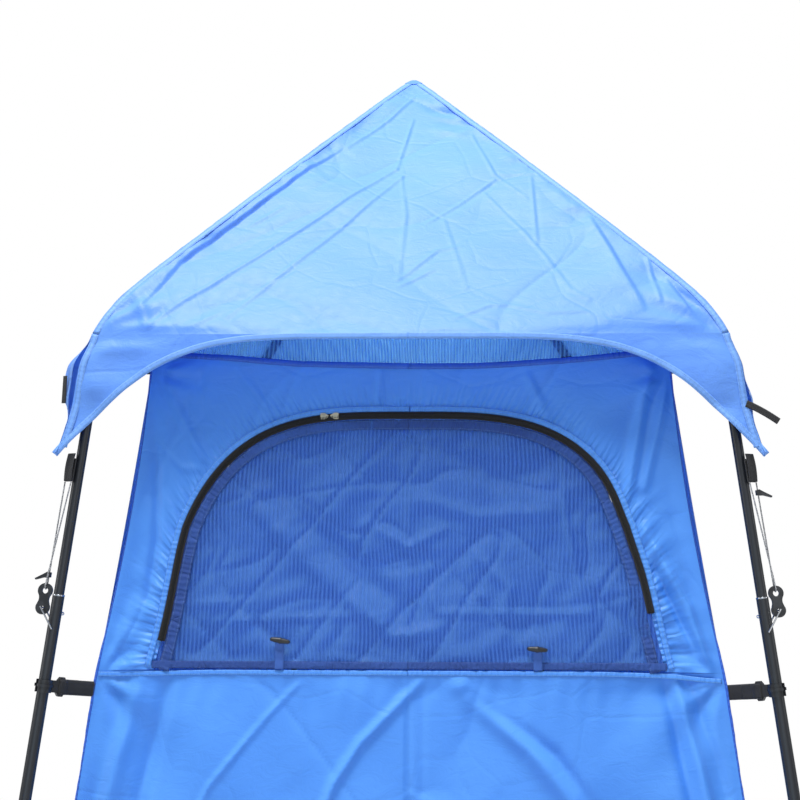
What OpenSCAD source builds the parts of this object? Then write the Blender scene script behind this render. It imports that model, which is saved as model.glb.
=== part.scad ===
// Privacy shower tent on a folding, telescoping four-leg frame.
// Millimetres. Z up, the feet stand on Z = 0, the centre line is the Z axis.
// The window wall is the front and faces -Y. Left is -X.

/* [Frame] */
// Half the distance between neighbouring elbow corners
eave_half = 526; // [500:1:560]
// Height of the elbow corners
eave_z = 1645; // [1500:5:1700]
// Outward lean of each leg per unit of height, along X and along Y
leg_lean = 0.11; // [0.08:0.005:0.14]
// Height of the hub's pivot pins
hub_z = 2226; // [2150:1:2260]
// Distance of the pivot pins from the centre line
hub_r = 40; // [38:1:46]
// Outer diameter of the roof arms
arm_od = 16; // [14:1:18]
// Outer diameter of the upper leg tubes
upper_od = 17; // [16:0.5:18]
// Outer diameter of the lower leg tubes
lower_od = 19.4; // [19.3:0.1:20]
// Distance along the leg from the elbow to the top of the lower tube
joint_at = 428; // [400:1:480]
// Length of upper tube held inside the lower one when extended
tube_lap = 190; // [120:5:260]
// How far the lower tube pushes up over the upper one
leg_travel = 340; // [280:5:340]

/* [Body] */
// Half width of the fabric body at its top edge
body_top = 449; // [420:1:460]
// Half width of the fabric body at its lower hem
body_foot = 658; // [600:1:665]
// Height of the top edge of the walls
wall_top_z = 1640; // [1500:5:1640]
// Height of the lower hem of the walls
wall_hem_z = 20; // [12:1:60]
// Thickness of the wall fabric with its seams
wall_t = 1.2; // [1:0.1:2]

/* [Window] */
// Half width of the window at its lower corners
win_half = 424; // [360:1:430]
// Height of the window's lower seam
win_z0 = 1097; // [1000:1:1150]
// Height of the top of the window's arch
win_z1 = 1524; // [1450:1:1540]
// Width of the zipper tape
zip_w = 12; // [10:1:16]

/* [Fly] */
// Height of the fly's peak
fly_peak = 2292; // [2270:1:2310]
// Half width of the fly at its eave fold
fly_half = 540; // [536:1:545]
// Height of the eave fold
fly_eave = 1657; // [1650:1:1665]
// Depth of the skirt at the middle of a side
skirt_mid = 8; // [4:1:30]
// Extra depth of the skirt at the corners
skirt_corner = 200; // [150:5:210]
// Thickness of the fly cloth with its hem
fly_t = 2; // [1.5:0.1:3]

/* [Webbing] */
// Width of the strap webbing
web_w = 25; // [20:1:30]
// Thickness of the strap webbing
web_t = 1.6; // [1:0.1:2]
// Height of the strap rings along the leg, measured down from the elbow
ring_at = 575; // [540:1:620]

/* [Hidden] */
$fn = 48;

FL = -135; FR = -45; BL = 135; BR = 45;
metal = "#23272d"; plastic = "#1b1d20"; web_c = "#17181b";

// the elbow corner C and the arm's and leg's directions, in a corner's own upright plane
c_r = eave_half * sqrt(2);
arm_a = atan2(eave_z - hub_z, c_r - hub_r);
arm_l = norm([c_r - hub_r, eave_z - hub_z]);
lean = atan(leg_lean * sqrt(2));
leg_a = -90 + lean;
leg_l = eave_z / cos(lean);
foot_r = c_r + eave_z * tan(lean);
mitre = 90 + (arm_a + leg_a) / 2;
elbow_off = 20;
// the button's place along the leg, and its travel
button_at = joint_at + 30;
// the fly line's fittings, measured out from the leg's axis and down it
tab_d = 17; tab_top = 205; tab_bot = 243;
ten_d = 23; ten_at = 424; ten_lobe = 27.5; hook_drop = 31.6;
// the fly line's route from the tensioner's hole: down from the tab, through the hole, and up again
cord_r = 1.25;
cord_route = [[-18, 19, 180.6], [-9, 12, 94], [-0.4, 5.2, 14], [0, 5, 7.6], [0, 4.3, 5.1], [0, 2.5, 3.3], [0, 0, 2.6],
  [0, -2.5, 3.3], [0, -4.3, 5.1], [0, -5, 7.6], [-0.1, -4.8, 14], [-2, 0.1, 94], [-4, 5, 180.6]];
// the wall's lean
wall_h = wall_top_z - wall_hem_z;
wall_a = atan((body_foot - body_top) / wall_h);
wall_l = wall_h / cos(wall_a);
function wall_half(z) = body_foot - (body_foot - body_top) * (z - wall_hem_z) / wall_h;
function up(z) = (z - wall_hem_z) / cos(wall_a);

// frames: a corner's plane, along its arm from the hub pin, and along its leg from the elbow
module corner(a) rotate([0, 0, a]) children();
module on_arm() translate([hub_r, 0, hub_z]) rotate([0, -arm_a, 0]) children();
module on_leg() translate([c_r, 0, eave_z]) rotate([0, -lean, 0]) children();
module on_elbow() translate([c_r - elbow_off * cos(mitre), 0, eave_z - elbow_off * sin(mitre)]) children();
// a leg's fittings that hang beside it, in the plane of the front or back wall
function turn(a) = (a == FL || a == BR) ? 1 : -1;
module beside(a) rotate([0, 0, -45 * turn(a)]) children();
// everything on the leg's side, or on the arm's side, of the mitre plane
module mitre_side(s) translate([c_r, 0, eave_z]) rotate([0, -mitre, 0])
  translate([-200, -200, s > 0 ? -0.2 : -399.8]) cube([400, 400, 400]);
module across(r, w) rotate([90, 0, 0]) cylinder(r = r, h = w, center = true);

// ---------- hub ----------
module hub_housing() color(plastic) difference() {
  union() {
    translate([0, 0, hub_z - 22]) cylinder(r = 28.5, h = 44);
    translate([0, 0, hub_z - 32]) cylinder(r = 13, h = 12);
    for (a = [FL, FR, BL, BR], s = [-1, 1]) corner(a) translate([0, s * 7.9, hub_z]) {
      translate([hub_r, 0, 0]) across(10, 5);
      translate([22, -2.5, -10]) cube([hub_r - 22, 5, 20]);
    }
  }
  for (a = [FL, FR, BL, BR]) corner(a) translate([hub_r, 0, hub_z]) across(3, 40);
  translate([0, 0, hub_z + 12]) cylinder(r = 20, h = 20);
  translate([0, 0, hub_z - 40]) cylinder(r = 4, h = 30);
}
module hub_cap() color("#2a2d31") translate([0, 0, hub_z + 22]) {
  rotate_extrude() polygon(concat([[0, 0]], [for (i = [0:12]) [28 * cos(i * 7.5), 3 + 10 * sin(i * 7.5)]], [[0, 13]]));
  cylinder(r = 28, h = 3);
  translate([0, 0, -8]) difference() { cylinder(r = 19.9, h = 8.5); translate([0, 0, -1]) cylinder(r = 17.5, h = 8); }
}
module hub_pins() color("silver") for (a = [FL, FR, BL, BR]) corner(a) translate([hub_r, 0, hub_z]) {
  across(2.97, 20.8);
  translate([0, 11.4, 0]) across(4.6, 1.8);
  translate([0, -11.4, 0]) across(4.6, 1.8);
}

// ---------- roof arms ----------
module arm_tube(a) color(metal) corner(a) on_arm() translate([30, 0, 0]) rotate([0, 90, 0]) difference() {
  cylinder(r = arm_od / 2, h = arm_l - 30 - 14);
  translate([0, 0, -1]) cylinder(r = arm_od / 2 - 1, h = arm_l);
}
module arm_fittings(a) color(plastic) corner(a) {
  // tongue that turns on the hub pin, with a plug in the tube
  on_arm() difference() {
    union() {
      across(9, 10);
      translate([0, -5, -7]) cube([24, 10, 14]);
      translate([22, 0, 0]) rotate([0, 90, 0]) cylinder(r = 8.6, h = 7.9);
      translate([29, 0, 0]) rotate([0, 90, 0]) cylinder(r = arm_od / 2 - 1.05, h = 32);
    }
    across(3.05, 30);
  }
  // sleeve on the arm's outer end, with two cheeks reaching down to the elbow pin
  difference() {
    union() {
      difference() {
        union() {
          on_arm() translate([arm_l - 62, 0, 0]) rotate([0, 90, 0]) cylinder(r = 10.5, h = 90);
          for (s = [-1, 1]) on_elbow() translate([0, s * 8.4, 0]) rotate([0, -arm_a, 0])
            translate([-8, -2, 0]) cube([20, 4, 18]);
        }
        mitre_side(-1);
      }
      for (s = [-1, 1]) on_elbow() translate([0, s * 8.4, 0]) across(7.5, 4);
    }
    on_arm() translate([arm_l - 63, 0, 0]) rotate([0, 90, 0]) cylinder(r = arm_od / 2 + 0.02, h = 49.1);
    on_elbow() across(3.5, 40);
  }
  // elbow pin
  on_elbow() { across(3.48, 20.9); translate([0, 11.4, 0]) across(5, 1.8); translate([0, -11.4, 0]) across(5, 1.8); }
}

// ---------- legs ----------
module leg_socket(a) color(plastic) corner(a) difference() {
  union() {
    difference() {
      union() {
        on_leg() translate([0, 0, -72]) cylinder(r = 10.6, h = 100);
        on_elbow() rotate([0, -lean, 0]) translate([1, -5, -11.3]) cube([15, 10, 19]);
      }
      mitre_side(1);
    }
    on_elbow() across(7.5, 12);
  }
  on_leg() translate([0, 0, -73]) cylinder(r = upper_od / 2 + 0.02, h = 59.1);
  on_elbow() across(3.55, 40);
}
module upper_leg(a) color(metal) corner(a) on_leg() difference() {
  translate([0, 0, -joint_at - tube_lap]) cylinder(r = upper_od / 2, h = joint_at + tube_lap - 14);
  translate([0, 0, -1000]) cylinder(r = upper_od / 2 - 1.2, h = 1000);
  // catch holes for the extended and the pushed-in leg
  for (z = [button_at, button_at - leg_travel]) translate([-12, 0, -z]) rotate([0, 90, 0]) cylinder(r = 3.5, h = 10);
}
module lower_leg(a) color(metal) corner(a) on_leg() difference() {
  translate([0, 0, -leg_l + 12]) cylinder(r = lower_od / 2, h = leg_l - 12 - joint_at);
  translate([0, 0, -leg_l]) cylinder(r = upper_od / 2 + 0.1, h = leg_l);
  // holes beside the ends of the fly line's hook
  beside(a) translate([0, 0, -ten_at - ten_lobe - hook_drop]) across(2.6, 60);
  translate([-14, 0, -button_at]) rotate([0, 90, 0]) cylinder(r = 3.1, h = 10);
}
module leg_button(a) color("silver") corner(a) on_leg() translate([-upper_od / 2 - 0.15, 0, -button_at]) rotate([0, -90, 0])
  rotate_extrude() polygon([[0, 0], [3, 0], [3, 4], [2.8, 4.8], [2.2, 5.6], [1.3, 6.1], [0, 6.3]]);
module foot(a) color(plastic) corner(a) difference() {
  union() {
    on_leg() translate([0, 0, -leg_l - 10]) cylinder(r = 13, h = 62);
    translate([foot_r, 0, 0]) cylinder(r = 24, h = 6);
    translate([foot_r, -14, 0]) cube([42, 28, 6]);
    translate([foot_r + 42, 0, 0]) cylinder(r = 14, h = 6);
  }
  on_leg() translate([0, 0, -leg_l + 12]) cylinder(r = lower_od / 2 + 0.02, h = 80);
  translate([foot_r - 100, -100, -50]) cube([200, 200, 50]);
  translate([foot_r + 42, 0, -1]) cylinder(r = 5, h = 12);
}

// clip round the leg with the bar of the body strap, fly line tensioner and cord stop
module leg_hardware(a) color(plastic) corner(a) on_leg() {
  translate([0, 0, -ring_at]) difference() {
    union() {
      translate([0, 0, -10]) cylinder(r = 13.2, h = 20);
      translate([0, 0, -1]) cylinder(r = 15, h = 4.5);
      translate([-27, -3.5, -9.5]) cube([18, 7, 19]);
      translate([-29, 0, 0]) rotate([90, 0, 0]) linear_extrude(7, center = true)
        polygon([[6.5, -10], [2.5, -15.5], [-5, -15.5], [-6.5, -13], [-6.5, 13], [-5, 15.5], [2.5, 15.5], [6.5, 10]]);
    }
    translate([0, 0, -20]) cylinder(r = lower_od / 2 + 0.1, h = 40);
    translate([5, -4, -20]) cube([20, 8, 40]);
    translate([-30, -10, -12.8]) cube([3.6, 20, 25.6]);
  }
  beside(a) translate([ten_d, 0, -ten_at]) rotate([90, 0, 0]) linear_extrude(5, center = true) difference() {
    union() {
      circle(r = 12);
      translate([0, -ten_lobe]) circle(r = 11.5);
      polygon([[-10.5, 0], [10.5, 0], [9.3, -ten_lobe], [-9.3, -ten_lobe]]);
    }
    for (k = [-22, 22]) translate([k, -ten_lobe / 2]) circle(r = 14);
    circle(r = 5);
    translate([0, -ten_lobe]) circle(r = 2.4);
  }
  // the cord stop sits low on the line, at the right front corner it was pushed up to the tab
  beside(a) translate(a == -45 ? [ten_d - 3.6, 4 * turn(a), -ten_at + 163] : [ten_d - 0.4, -4 * turn(a), -ten_at + 25]) difference() {
    rotate([90, 0, 0]) linear_extrude(6, center = true)
      polygon([[-3.4, 5], [2.5, 6], [9, 1.5], [22, -7], [20.8, -9.2], [8, -4.5], [2, -4], [-3.4, -3]]);
    translate([0, 0, -15]) cylinder(r = 1.8, h = 30);
  }
}
// wire bail through the tensioner's lower lobe, its two ends turned in to the leg
module tension_hook(a) color("silver") corner(a) on_leg() beside(a) translate([ten_d, 0, -ten_at - ten_lobe]) {
  across(1.3, 22.6);
  for (s = [-1, 1]) translate([0, s * 11.3, 0]) {
    rotate([0, atan(ten_d / hook_drop), 0]) translate([0, 0, -norm([ten_d, hook_drop]) - 1.7]) cylinder(r = 1.4, h = norm([ten_d, hook_drop]) + 3.7);
    translate([-ten_d, -s * 0.65, -hook_drop]) across(1.1, 1.4);
  }
}

// fly line: one cord through the tensioner, both ends in the corner tab
function ring_pts(p, t, r, n) = let (x = [1, 0, 0], v = cross(t, x)) [for (k = [0:n - 1]) p + r * cos(k * 360 / n) * x + r * sin(k * 360 / n) * v];
module tube_along(path, r, n) {
  m = len(path);
  pts = [for (i = [0:m - 1]) let (a = path[max(i - 1, 0)], b = path[min(i + 1, m - 1)], t = (b - a) / norm(b - a)) each ring_pts(path[i], t, r, n)];
  polyhedron(pts, concat(
    [[for (k = [0:n - 1]) k]],
    [for (i = [0:m - 2], k = [0:n - 1]) each [
      [i * n + k, (i + 1) * n + k, (i + 1) * n + (k + 1) % n], [i * n + k, (i + 1) * n + (k + 1) % n, i * n + (k + 1) % n]]],
    [[for (k = [n - 1:-1:0]) (m - 1) * n + k]]));
}
module tension_cord(a) color("#3a3a3a") corner(a) on_leg() beside(a) translate([ten_d, 0, -ten_at])
  tube_along([for (p = cord_route) [p[0], p[1] * turn(a), p[2]]], cord_r, 8);

// ---------- sliders ----------
module slider(c) color(c) {
  cube([13, 3, 10], center = true);
  translate([0, -2.4, 0]) cube([8, 2, 5], center = true);
  translate([0, -4, -12]) difference() {
    cube([7, 1.4, 26], center = true);
    translate([0, 0, -9]) rotate([90, 0, 0]) cylinder(r = 1.6, h = 4, center = true);
  }
}

// a window slider: the nose points the way of dir, its pull hangs on the inner side and is left out
module window_slider(dir) color("#b8b4a6") union() {
  rotate([90, 0, 0]) linear_extrude(3, center = true)
    polygon([[-7 * dir, -4.6], [-5.5 * dir, -5.6], [0.5 * dir, -5.6], [7.2 * dir, -1.3], [7.2 * dir, 1.3], [0.5 * dir, 5.6], [-5.5 * dir, 5.6], [-7 * dir, 4.6]]);
  translate([-1.2 * dir, -1.9, 0]) cube([7.6, 1.4, 3.6], center = true);
}

// ---------- walls: flat panels leaning in towards the top ----------
module on_wall(a) rotate([0, 0, a]) translate([0, -body_foot, wall_hem_z]) rotate([90 - wall_a, 0, 0]) translate([0, 0, -wall_t]) children();
gap = 3;
module wall_sheet() polygon([[-body_foot + gap, 0], [body_foot - gap, 0], [body_top - gap, wall_l], [-body_top + gap, wall_l]]);
// half width of the window at a share t of its height, pulled in by d
function win_x(t) = win_half * (1 - 0.1 * t) * pow(max(0, 1 - pow(t, 3)), 1 / 3.5);
function win_pts(d) = let (h = up(win_z1) - up(win_z0)) concat(
  [for (i = [0:30]) let (t = sin(i * 3)) [max(win_x(t) - d * (1 - t * t), 0.01 * d), up(win_z0) + d + (h - 2 * d) * t]],
  [for (i = [29:-1:0]) let (t = sin(i * 3)) [-max(win_x(t) - d * (1 - t * t), 0.01 * d), up(win_z0) + d + (h - 2 * d) * t]]);
module front_wall() color("#2f7de0") on_wall(0) linear_extrude(wall_t) difference() { wall_sheet(); polygon(win_pts(0)); }
module back_wall() color("#2f7de0") on_wall(180) linear_extrude(wall_t) wall_sheet();
module left_wall() color("#2f7de0") on_wall(-90) linear_extrude(wall_t) wall_sheet();
module right_wall() color("#2f7de0") on_wall(90) linear_extrude(wall_t) wall_sheet();
module window_mesh() color("#2b5fb8") on_wall(0) linear_extrude(1) polygon(win_pts(1.5));
module window_flap() color("#3f86e6") on_wall(0) translate([0, 0, -7]) linear_extrude(1) polygon(win_pts(8));
module window_zipper() color("#111316") on_wall(0) translate([0, 0, wall_t + 0.3]) linear_extrude(1.6) difference() {
  polygon(win_pts(-zip_w / 2));
  polygon(win_pts(zip_w / 2));
  translate([-500, up(win_z0) - 20]) square([1000, 70]);
}
module window_toggles() color(plastic) on_wall(0) for (x = [-214, 214]) translate([x, up(win_z0) + 46, wall_t + 7]) {
  rotate([0, 90, 0]) cylinder(r = 4.5, h = 26, center = true);
  for (s = [-13, 13]) translate([s, 0, 0]) sphere(r = 4.5);
  translate([-6, -54, -3]) cube([12, 48, 1.4]);
}
// door zipper on the back wall: two straight runs and an arched top
door_half = 310; door_z0 = 60; door_z1 = 1500; door_round = 240;
module door_shape(d) {
  translate([-door_half - d, up(door_z0)]) square([2 * door_half + 2 * d, up(door_z1) - up(door_z0) - door_round]);
  for (s = [-1, 1]) translate([s * (door_half - door_round), up(door_z1) - door_round]) circle(r = door_round + d, $fn = 96);
  translate([-door_half + door_round, up(door_z1) - door_round]) square([2 * (door_half - door_round), door_round + d]);
}
module door_zipper() color("#111316") on_wall(180) translate([0, 0, wall_t + 0.3]) linear_extrude(1.6) difference() {
  door_shape(zip_w / 2);
  door_shape(-zip_w / 2);
  translate([-500, up(door_z0) - 20]) square([1000, 20]);
}
module window_slider_left() on_wall(0) translate([-147, up(win_z1) - 2, wall_t + 3.6]) rotate([-90, 0, 0]) window_slider(1);
module window_slider_right() on_wall(0) translate([-129.5, up(win_z1) - 1.2, wall_t + 3.6]) rotate([-90, 0, 0]) window_slider(-1);
module door_slider() on_wall(180) translate([-door_half, up(door_z0) + 40, wall_t + 3.6]) rotate([-90, 0, 0]) slider("#b9a46a");

// bindings: a band round the top edge and a cord piping down each corner
module wall_bindings() color("#1c3f96") {
  for (a = [0, 90, 180, 270]) on_wall(a) translate([-body_top + 6, wall_l - 11, wall_t + 0.3]) cube([2 * body_top - 12, 10, 1.2]);
  for (a = [FL, FR, BL, BR]) corner(a) translate([body_foot * sqrt(2), 0, wall_hem_z]) rotate([0, -atan(sqrt(2) * tan(wall_a)), 0])
    translate([1, 0, 0]) cylinder(r = 1.8, h = norm([wall_h, (body_foot - body_top) * sqrt(2)]) - 2, $fn = 24);
}

// straps from the body's corners to the legs: at the top, at the window seam and at the foot
module body_straps() color(web_c) for (a = [FL, FR, BL, BR]) corner(a) {
  on_leg() translate([-88, -web_t / 2, -ring_at - web_w / 2]) cube([52, web_t, web_w]);
  translate([body_top * sqrt(2) + 12, -0.8, wall_top_z - 42]) cube([c_r - body_top * sqrt(2) - 26, 1.6, 20]);
  translate([wall_half(95) * sqrt(2) + 8, -0.8, 80]) cube([foot_r - 32 - wall_half(95) * sqrt(2) - 8, 1.6, 20]);
}

// ---------- shells: rings of points joined into one closed skin ----------
// a point on side s (0 front, 1 right, 2 back, 3 left) at share u of half width h
function side_pt(s, u, h, z) = s == 0 ? [u * h, -h, z] : s == 1 ? [h, u * h, z] : s == 2 ? [-u * h, h, z] : [-h, -u * h, z];
function spread(q) = sign(q) * (1 - pow(1 - abs(q), 1.5));
module skin(outer, inner, top_o, top_i, n) {
  m = len(outer) / n;
  o = 0; q = m * n; ao = 2 * q; ai = 2 * q + 1;
  polyhedron(concat(outer, inner, [top_o], [top_i]), concat(
    [for (j = [0:m - 2], i = [0:n - 1]) let (a = j * n + i, b = j * n + (i + 1) % n, c = b + n, d = a + n) each [[a, b, c], [a, c, d], [q + a, q + c, q + b], [q + a, q + d, q + c]]],
    [for (i = [0:n - 1]) let (a = (m - 1) * n + i, b = (m - 1) * n + (i + 1) % n) each [[a, b, q + b], [a, q + b, q + a]]],
    [for (i = [0:n - 1]) let (a = i, b = (i + 1) % n) each [[ao, b, a], [ai, q + a, q + b]]]));
}
// fly: a four-sided roof with a skirt cut in an arch, long at the corners
fn_c = 7; fly_n = 8 * fn_c; roof_rows = 8; skirt_rows = 5;
function fly_roof(s, u, t) = side_pt(s, u, t * fly_half, fly_peak - (fly_peak - fly_eave) * t - 10 * 4 * t * (1 - t) * (1 - u * u));
function fly_drop(u) = skirt_mid + skirt_corner * pow(abs(u), 5.5);
function fly_skirt(s, u, f, d) = let (k = fly_drop(u) * f)
  side_pt(s, u, fly_half + leg_lean * k + 26 * sin(min(180, 180 * k / 208)) * pow(abs(u), 6) - d, fly_eave - k);
fly_cols = [for (s = [0:3], k = [-fn_c:fn_c - 1]) [s, spread(k / fn_c)]];
module fly() color("#8cc4f7") skin(
  concat([for (j = [1:roof_rows], c = fly_cols) fly_roof(c[0], c[1], j / roof_rows)], [for (j = [1:skirt_rows], c = fly_cols) fly_skirt(c[0], c[1], j / skirt_rows, 0)]),
  concat([for (j = [1:roof_rows], c = fly_cols) fly_roof(c[0], c[1], j / roof_rows) - [0, 0, fly_t * 1.3] - (j == roof_rows ? side_pt(c[0], c[1], fly_t, 0) : [0, 0, 0])],
    [for (j = [1:skirt_rows], c = fly_cols) fly_skirt(c[0], c[1], j / skirt_rows, fly_t) - [0, 0, j == skirt_rows ? 0 : fly_t]]),
  [0, 0, fly_peak], [0, 0, fly_peak - fly_t * 1.3], fly_n);
// inner roof of insect mesh, closed at its crown under the hub
mesh_crown = hub_z - 34;
mesh_rows = 6;
mesh_cols = [for (s = [0:3], u = [-1, 0]) [s, u]];
function mesh_pt(c, t, d) = let (h = 14 + (body_top - 17) * t)
  side_pt(c[0], c[1], h - (t == 1 ? d : 0), mesh_crown - (mesh_crown - wall_top_z - 4) * t - (t == 1 ? 0.5 * d : d));
module roof_mesh() color("#6fa8e8") skin(
  [for (j = [0:mesh_rows], c = mesh_cols) mesh_pt(c, j / mesh_rows, 0)],
  [for (j = [0:mesh_rows], c = mesh_cols) mesh_pt(c, j / mesh_rows, 2)],
  [0, 0, mesh_crown], [0, 0, mesh_crown - 2], len(mesh_cols));
// webbing tabs: a wide one at each corner of the skirt, a spare one beside it
module fly_tabs() color(web_c) for (a = [FL, FR, BL, BR]) corner(a) on_leg() {
  translate([tab_d - 1, -14, -tab_bot]) cube([2, 28, tab_bot - tab_top - 5]);
  translate([tab_d + 36, -6, -142]) rotate([0, 55, 0]) cube([34, 12, 1.6]);
}

hub_housing();
hub_cap();
hub_pins();
fly();
fly_tabs();
roof_mesh();
front_wall();
back_wall();
left_wall();
right_wall();
wall_bindings();
window_mesh();
window_flap();
window_zipper();
window_toggles();
body_straps();
window_slider_left();
window_slider_right();
door_zipper();
door_slider();
arm_tube(FL);  // arm_tube_front_left
arm_tube(FR);  // arm_tube_front_right
arm_tube(BL);  // arm_tube_back_left
arm_tube(BR);  // arm_tube_back_right
arm_fittings(FL);  // arm_fittings_front_left
arm_fittings(FR);  // arm_fittings_front_right
arm_fittings(BL);  // arm_fittings_back_left
arm_fittings(BR);  // arm_fittings_back_right
upper_leg(FL);  // upper_leg_front_left
upper_leg(FR);  // upper_leg_front_right
upper_leg(BL);  // upper_leg_back_left
upper_leg(BR);  // upper_leg_back_right
leg_socket(FL);  // leg_socket_front_left
leg_socket(FR);  // leg_socket_front_right
leg_socket(BL);  // leg_socket_back_left
leg_socket(BR);  // leg_socket_back_right
leg_hardware(FL);  // leg_hardware_front_left
leg_hardware(FR);  // leg_hardware_front_right
leg_hardware(BL);  // leg_hardware_back_left
leg_hardware(BR);  // leg_hardware_back_right
tension_hook(FL);  // tension_hook_front_left
tension_hook(FR);  // tension_hook_front_right
tension_hook(BL);  // tension_hook_back_left
tension_hook(BR);  // tension_hook_back_right
tension_cord(FL);  // tension_cord_front_left
tension_cord(FR);  // tension_cord_front_right
tension_cord(BL);  // tension_cord_back_left
tension_cord(BR);  // tension_cord_back_right
lower_leg(FL);  // lower_leg_front_left
lower_leg(FR);  // lower_leg_front_right
lower_leg(BL);  // lower_leg_back_left
lower_leg(BR);  // lower_leg_back_right
leg_button(FL);  // leg_button_front_left
leg_button(FR);  // leg_button_front_right
leg_button(BL);  // leg_button_back_left
leg_button(BR);  // leg_button_back_right
foot(FL);  // foot_front_left
foot(FR);  // foot_front_right
foot(BL);  // foot_back_left
foot(BR);  // foot_back_right
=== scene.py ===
import bpy
import math
import numpy as np
from mathutils import Vector, Matrix


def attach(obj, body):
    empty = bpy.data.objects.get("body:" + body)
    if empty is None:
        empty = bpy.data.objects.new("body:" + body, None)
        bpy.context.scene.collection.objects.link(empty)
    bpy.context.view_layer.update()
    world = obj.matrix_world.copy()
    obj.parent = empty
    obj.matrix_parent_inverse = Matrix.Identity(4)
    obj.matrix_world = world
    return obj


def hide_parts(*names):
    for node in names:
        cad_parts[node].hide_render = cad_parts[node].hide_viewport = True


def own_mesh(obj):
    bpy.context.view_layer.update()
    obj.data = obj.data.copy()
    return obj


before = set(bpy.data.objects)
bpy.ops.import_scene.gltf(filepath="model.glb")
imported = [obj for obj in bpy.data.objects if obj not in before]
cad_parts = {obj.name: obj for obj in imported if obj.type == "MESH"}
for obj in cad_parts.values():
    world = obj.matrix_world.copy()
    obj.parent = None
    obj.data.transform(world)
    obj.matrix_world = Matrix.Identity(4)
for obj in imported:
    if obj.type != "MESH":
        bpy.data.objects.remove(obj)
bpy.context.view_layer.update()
SC = bpy.context.scene

# ---------------------------------------------------------------- camera
cam_data = bpy.data.cameras.new("camera")
cam_data.lens = 55.5
cam_data.sensor_width = 36.0
cam_data.clip_start = 0.05
cam_data.clip_end = 60.0
cam = bpy.data.objects.new("camera", cam_data)
SC.collection.objects.link(cam)
cam.location = (0.044, -2.6, 1.37)
cam.rotation_euler = (math.radians(94.85), math.radians(-0.1), math.radians(1.6))
SC.camera = cam

# ---------------------------------------------------------------- the frame's own numbers, in metres
EAVE, EAVE_Z = 0.526, 1.645
C_R = EAVE * math.sqrt(2)
LEAN = math.atan(0.11 * math.sqrt(2))
HUB_Z, HUB_R = 2.226, 0.040
BODY_TOP, BODY_FOOT, WALL_TOP, WALL_HEM = 0.449, 0.658, 1.640, 0.020
WIN_HALF, WIN_Z0, WIN_Z1 = 0.424, 1.097, 1.524
FLY_PEAK, FLY_HALF, FLY_EAVE = 2.292, 0.5375, 1.657
TIP = 0.008
TAB_D, TAB_BOT = 0.017, 0.243
TEN_D, TEN_AT, TEN_LOBE = 0.023, 0.424, 0.0275
RING_AT = 0.575
Q = math.sqrt(0.5)
CORNERS = {"front_left": (-135, 1), "front_right": (-45, -1), "back_left": (135, -1), "back_right": (45, 1)}
SIGNS = {"front_left": (-1, -1), "front_right": (1, -1), "back_left": (-1, 1), "back_right": (1, 1)}
# panel s: 0 front, 1 right, 2 back, 3 left; its corners at u = -1 and u = +1
ENDS = {0: ("front_left", "front_right"), 1: ("front_right", "back_right"), 2: ("back_right", "back_left"), 3: ("back_left", "front_left")}
SIDE = {0: "front", 1: "right", 2: "back", 3: "left"}


def unit(v):
    v = np.asarray(v, float)
    return v / np.maximum(np.linalg.norm(v, axis=-1, keepdims=True), 1e-12)


def sstep(a, b, x):
    t = np.clip((np.asarray(x, float) - a) / (b - a), 0, 1)
    return t * t * (3 - 2 * t)


def spin(p, s):
    """a point of the front panel turned to panel s"""
    a = math.radians(90 * s)
    c, n = round(math.cos(a)), round(math.sin(a))
    p = np.asarray(p, float)
    return np.stack([p[..., 0] * c - p[..., 1] * n, p[..., 0] * n + p[..., 1] * c, p[..., 2]], -1)


def leg_pt(corner, x, y, z):
    """a point given in the leg's own axes: x outwards, y sideways, z up the leg from the elbow"""
    phi = math.radians(CORNERS[corner][0])
    x, y, z = (np.asarray(k, float) for k in (x, y, z))
    r = C_R + x * math.cos(LEAN) - z * math.sin(LEAN)
    h = EAVE_Z + x * math.sin(LEAN) + z * math.cos(LEAN)
    c, s = math.cos(phi), math.sin(phi)
    return np.stack(np.broadcast_arrays(r * c - y * s, r * s + y * c, h), -1)


def leg_dir(corner, v):
    return leg_pt(corner, *v) - leg_pt(corner, 0, 0, 0)


def beside(corner, x, y, z):
    t = CORNERS[corner][1]
    return leg_pt(corner, Q * (np.asarray(x) + t * np.asarray(y)), Q * (-t * np.asarray(x) + np.asarray(y)), z)


# ---------------------------------------------------------------- noise
def ihash(ix, iy, seed):
    h = (ix.astype(np.int64) * 374761393 + iy.astype(np.int64) * 668265263 + seed * 1274126177) & 0xFFFFFFFF
    h = ((h ^ (h >> 13)) * 1274126177) & 0xFFFFFFFF
    return ((h ^ (h >> 16)) & 0xFFFFFF) / float(0xFFFFFF)


def vn(x, y, seed):
    """smooth value noise, -1 to 1"""
    x, y = np.broadcast_arrays(np.asarray(x, float), np.asarray(y, float))
    fx, fy = np.floor(x), np.floor(y)
    tx, ty = x - fx, y - fy
    ix, iy = fx.astype(np.int64), fy.astype(np.int64)
    tx, ty = tx * tx * (3 - 2 * tx), ty * ty * (3 - 2 * ty)
    a = ihash(ix, iy, seed) * (1 - tx) + ihash(ix + 1, iy, seed) * tx
    b = ihash(ix, iy + 1, seed) * (1 - tx) + ihash(ix + 1, iy + 1, seed) * tx
    return (a * (1 - ty) + b * ty) * 2 - 1


def turned(x, y, deg, sx, sy):
    c, s = math.cos(math.radians(deg)), math.sin(math.radians(deg))
    return (x * c + y * s) / sx, (-x * s + y * c) / sy


def creased(x, y, seed, deg, sx, sy, sharp=0.22):
    """thin folded lines where a smooth field changes sign, -1 to 0"""
    a, b = turned(x, y, deg, sx, sy)
    v = vn(a, b, seed)
    return -np.exp(-np.abs(v) / sharp)


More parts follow.
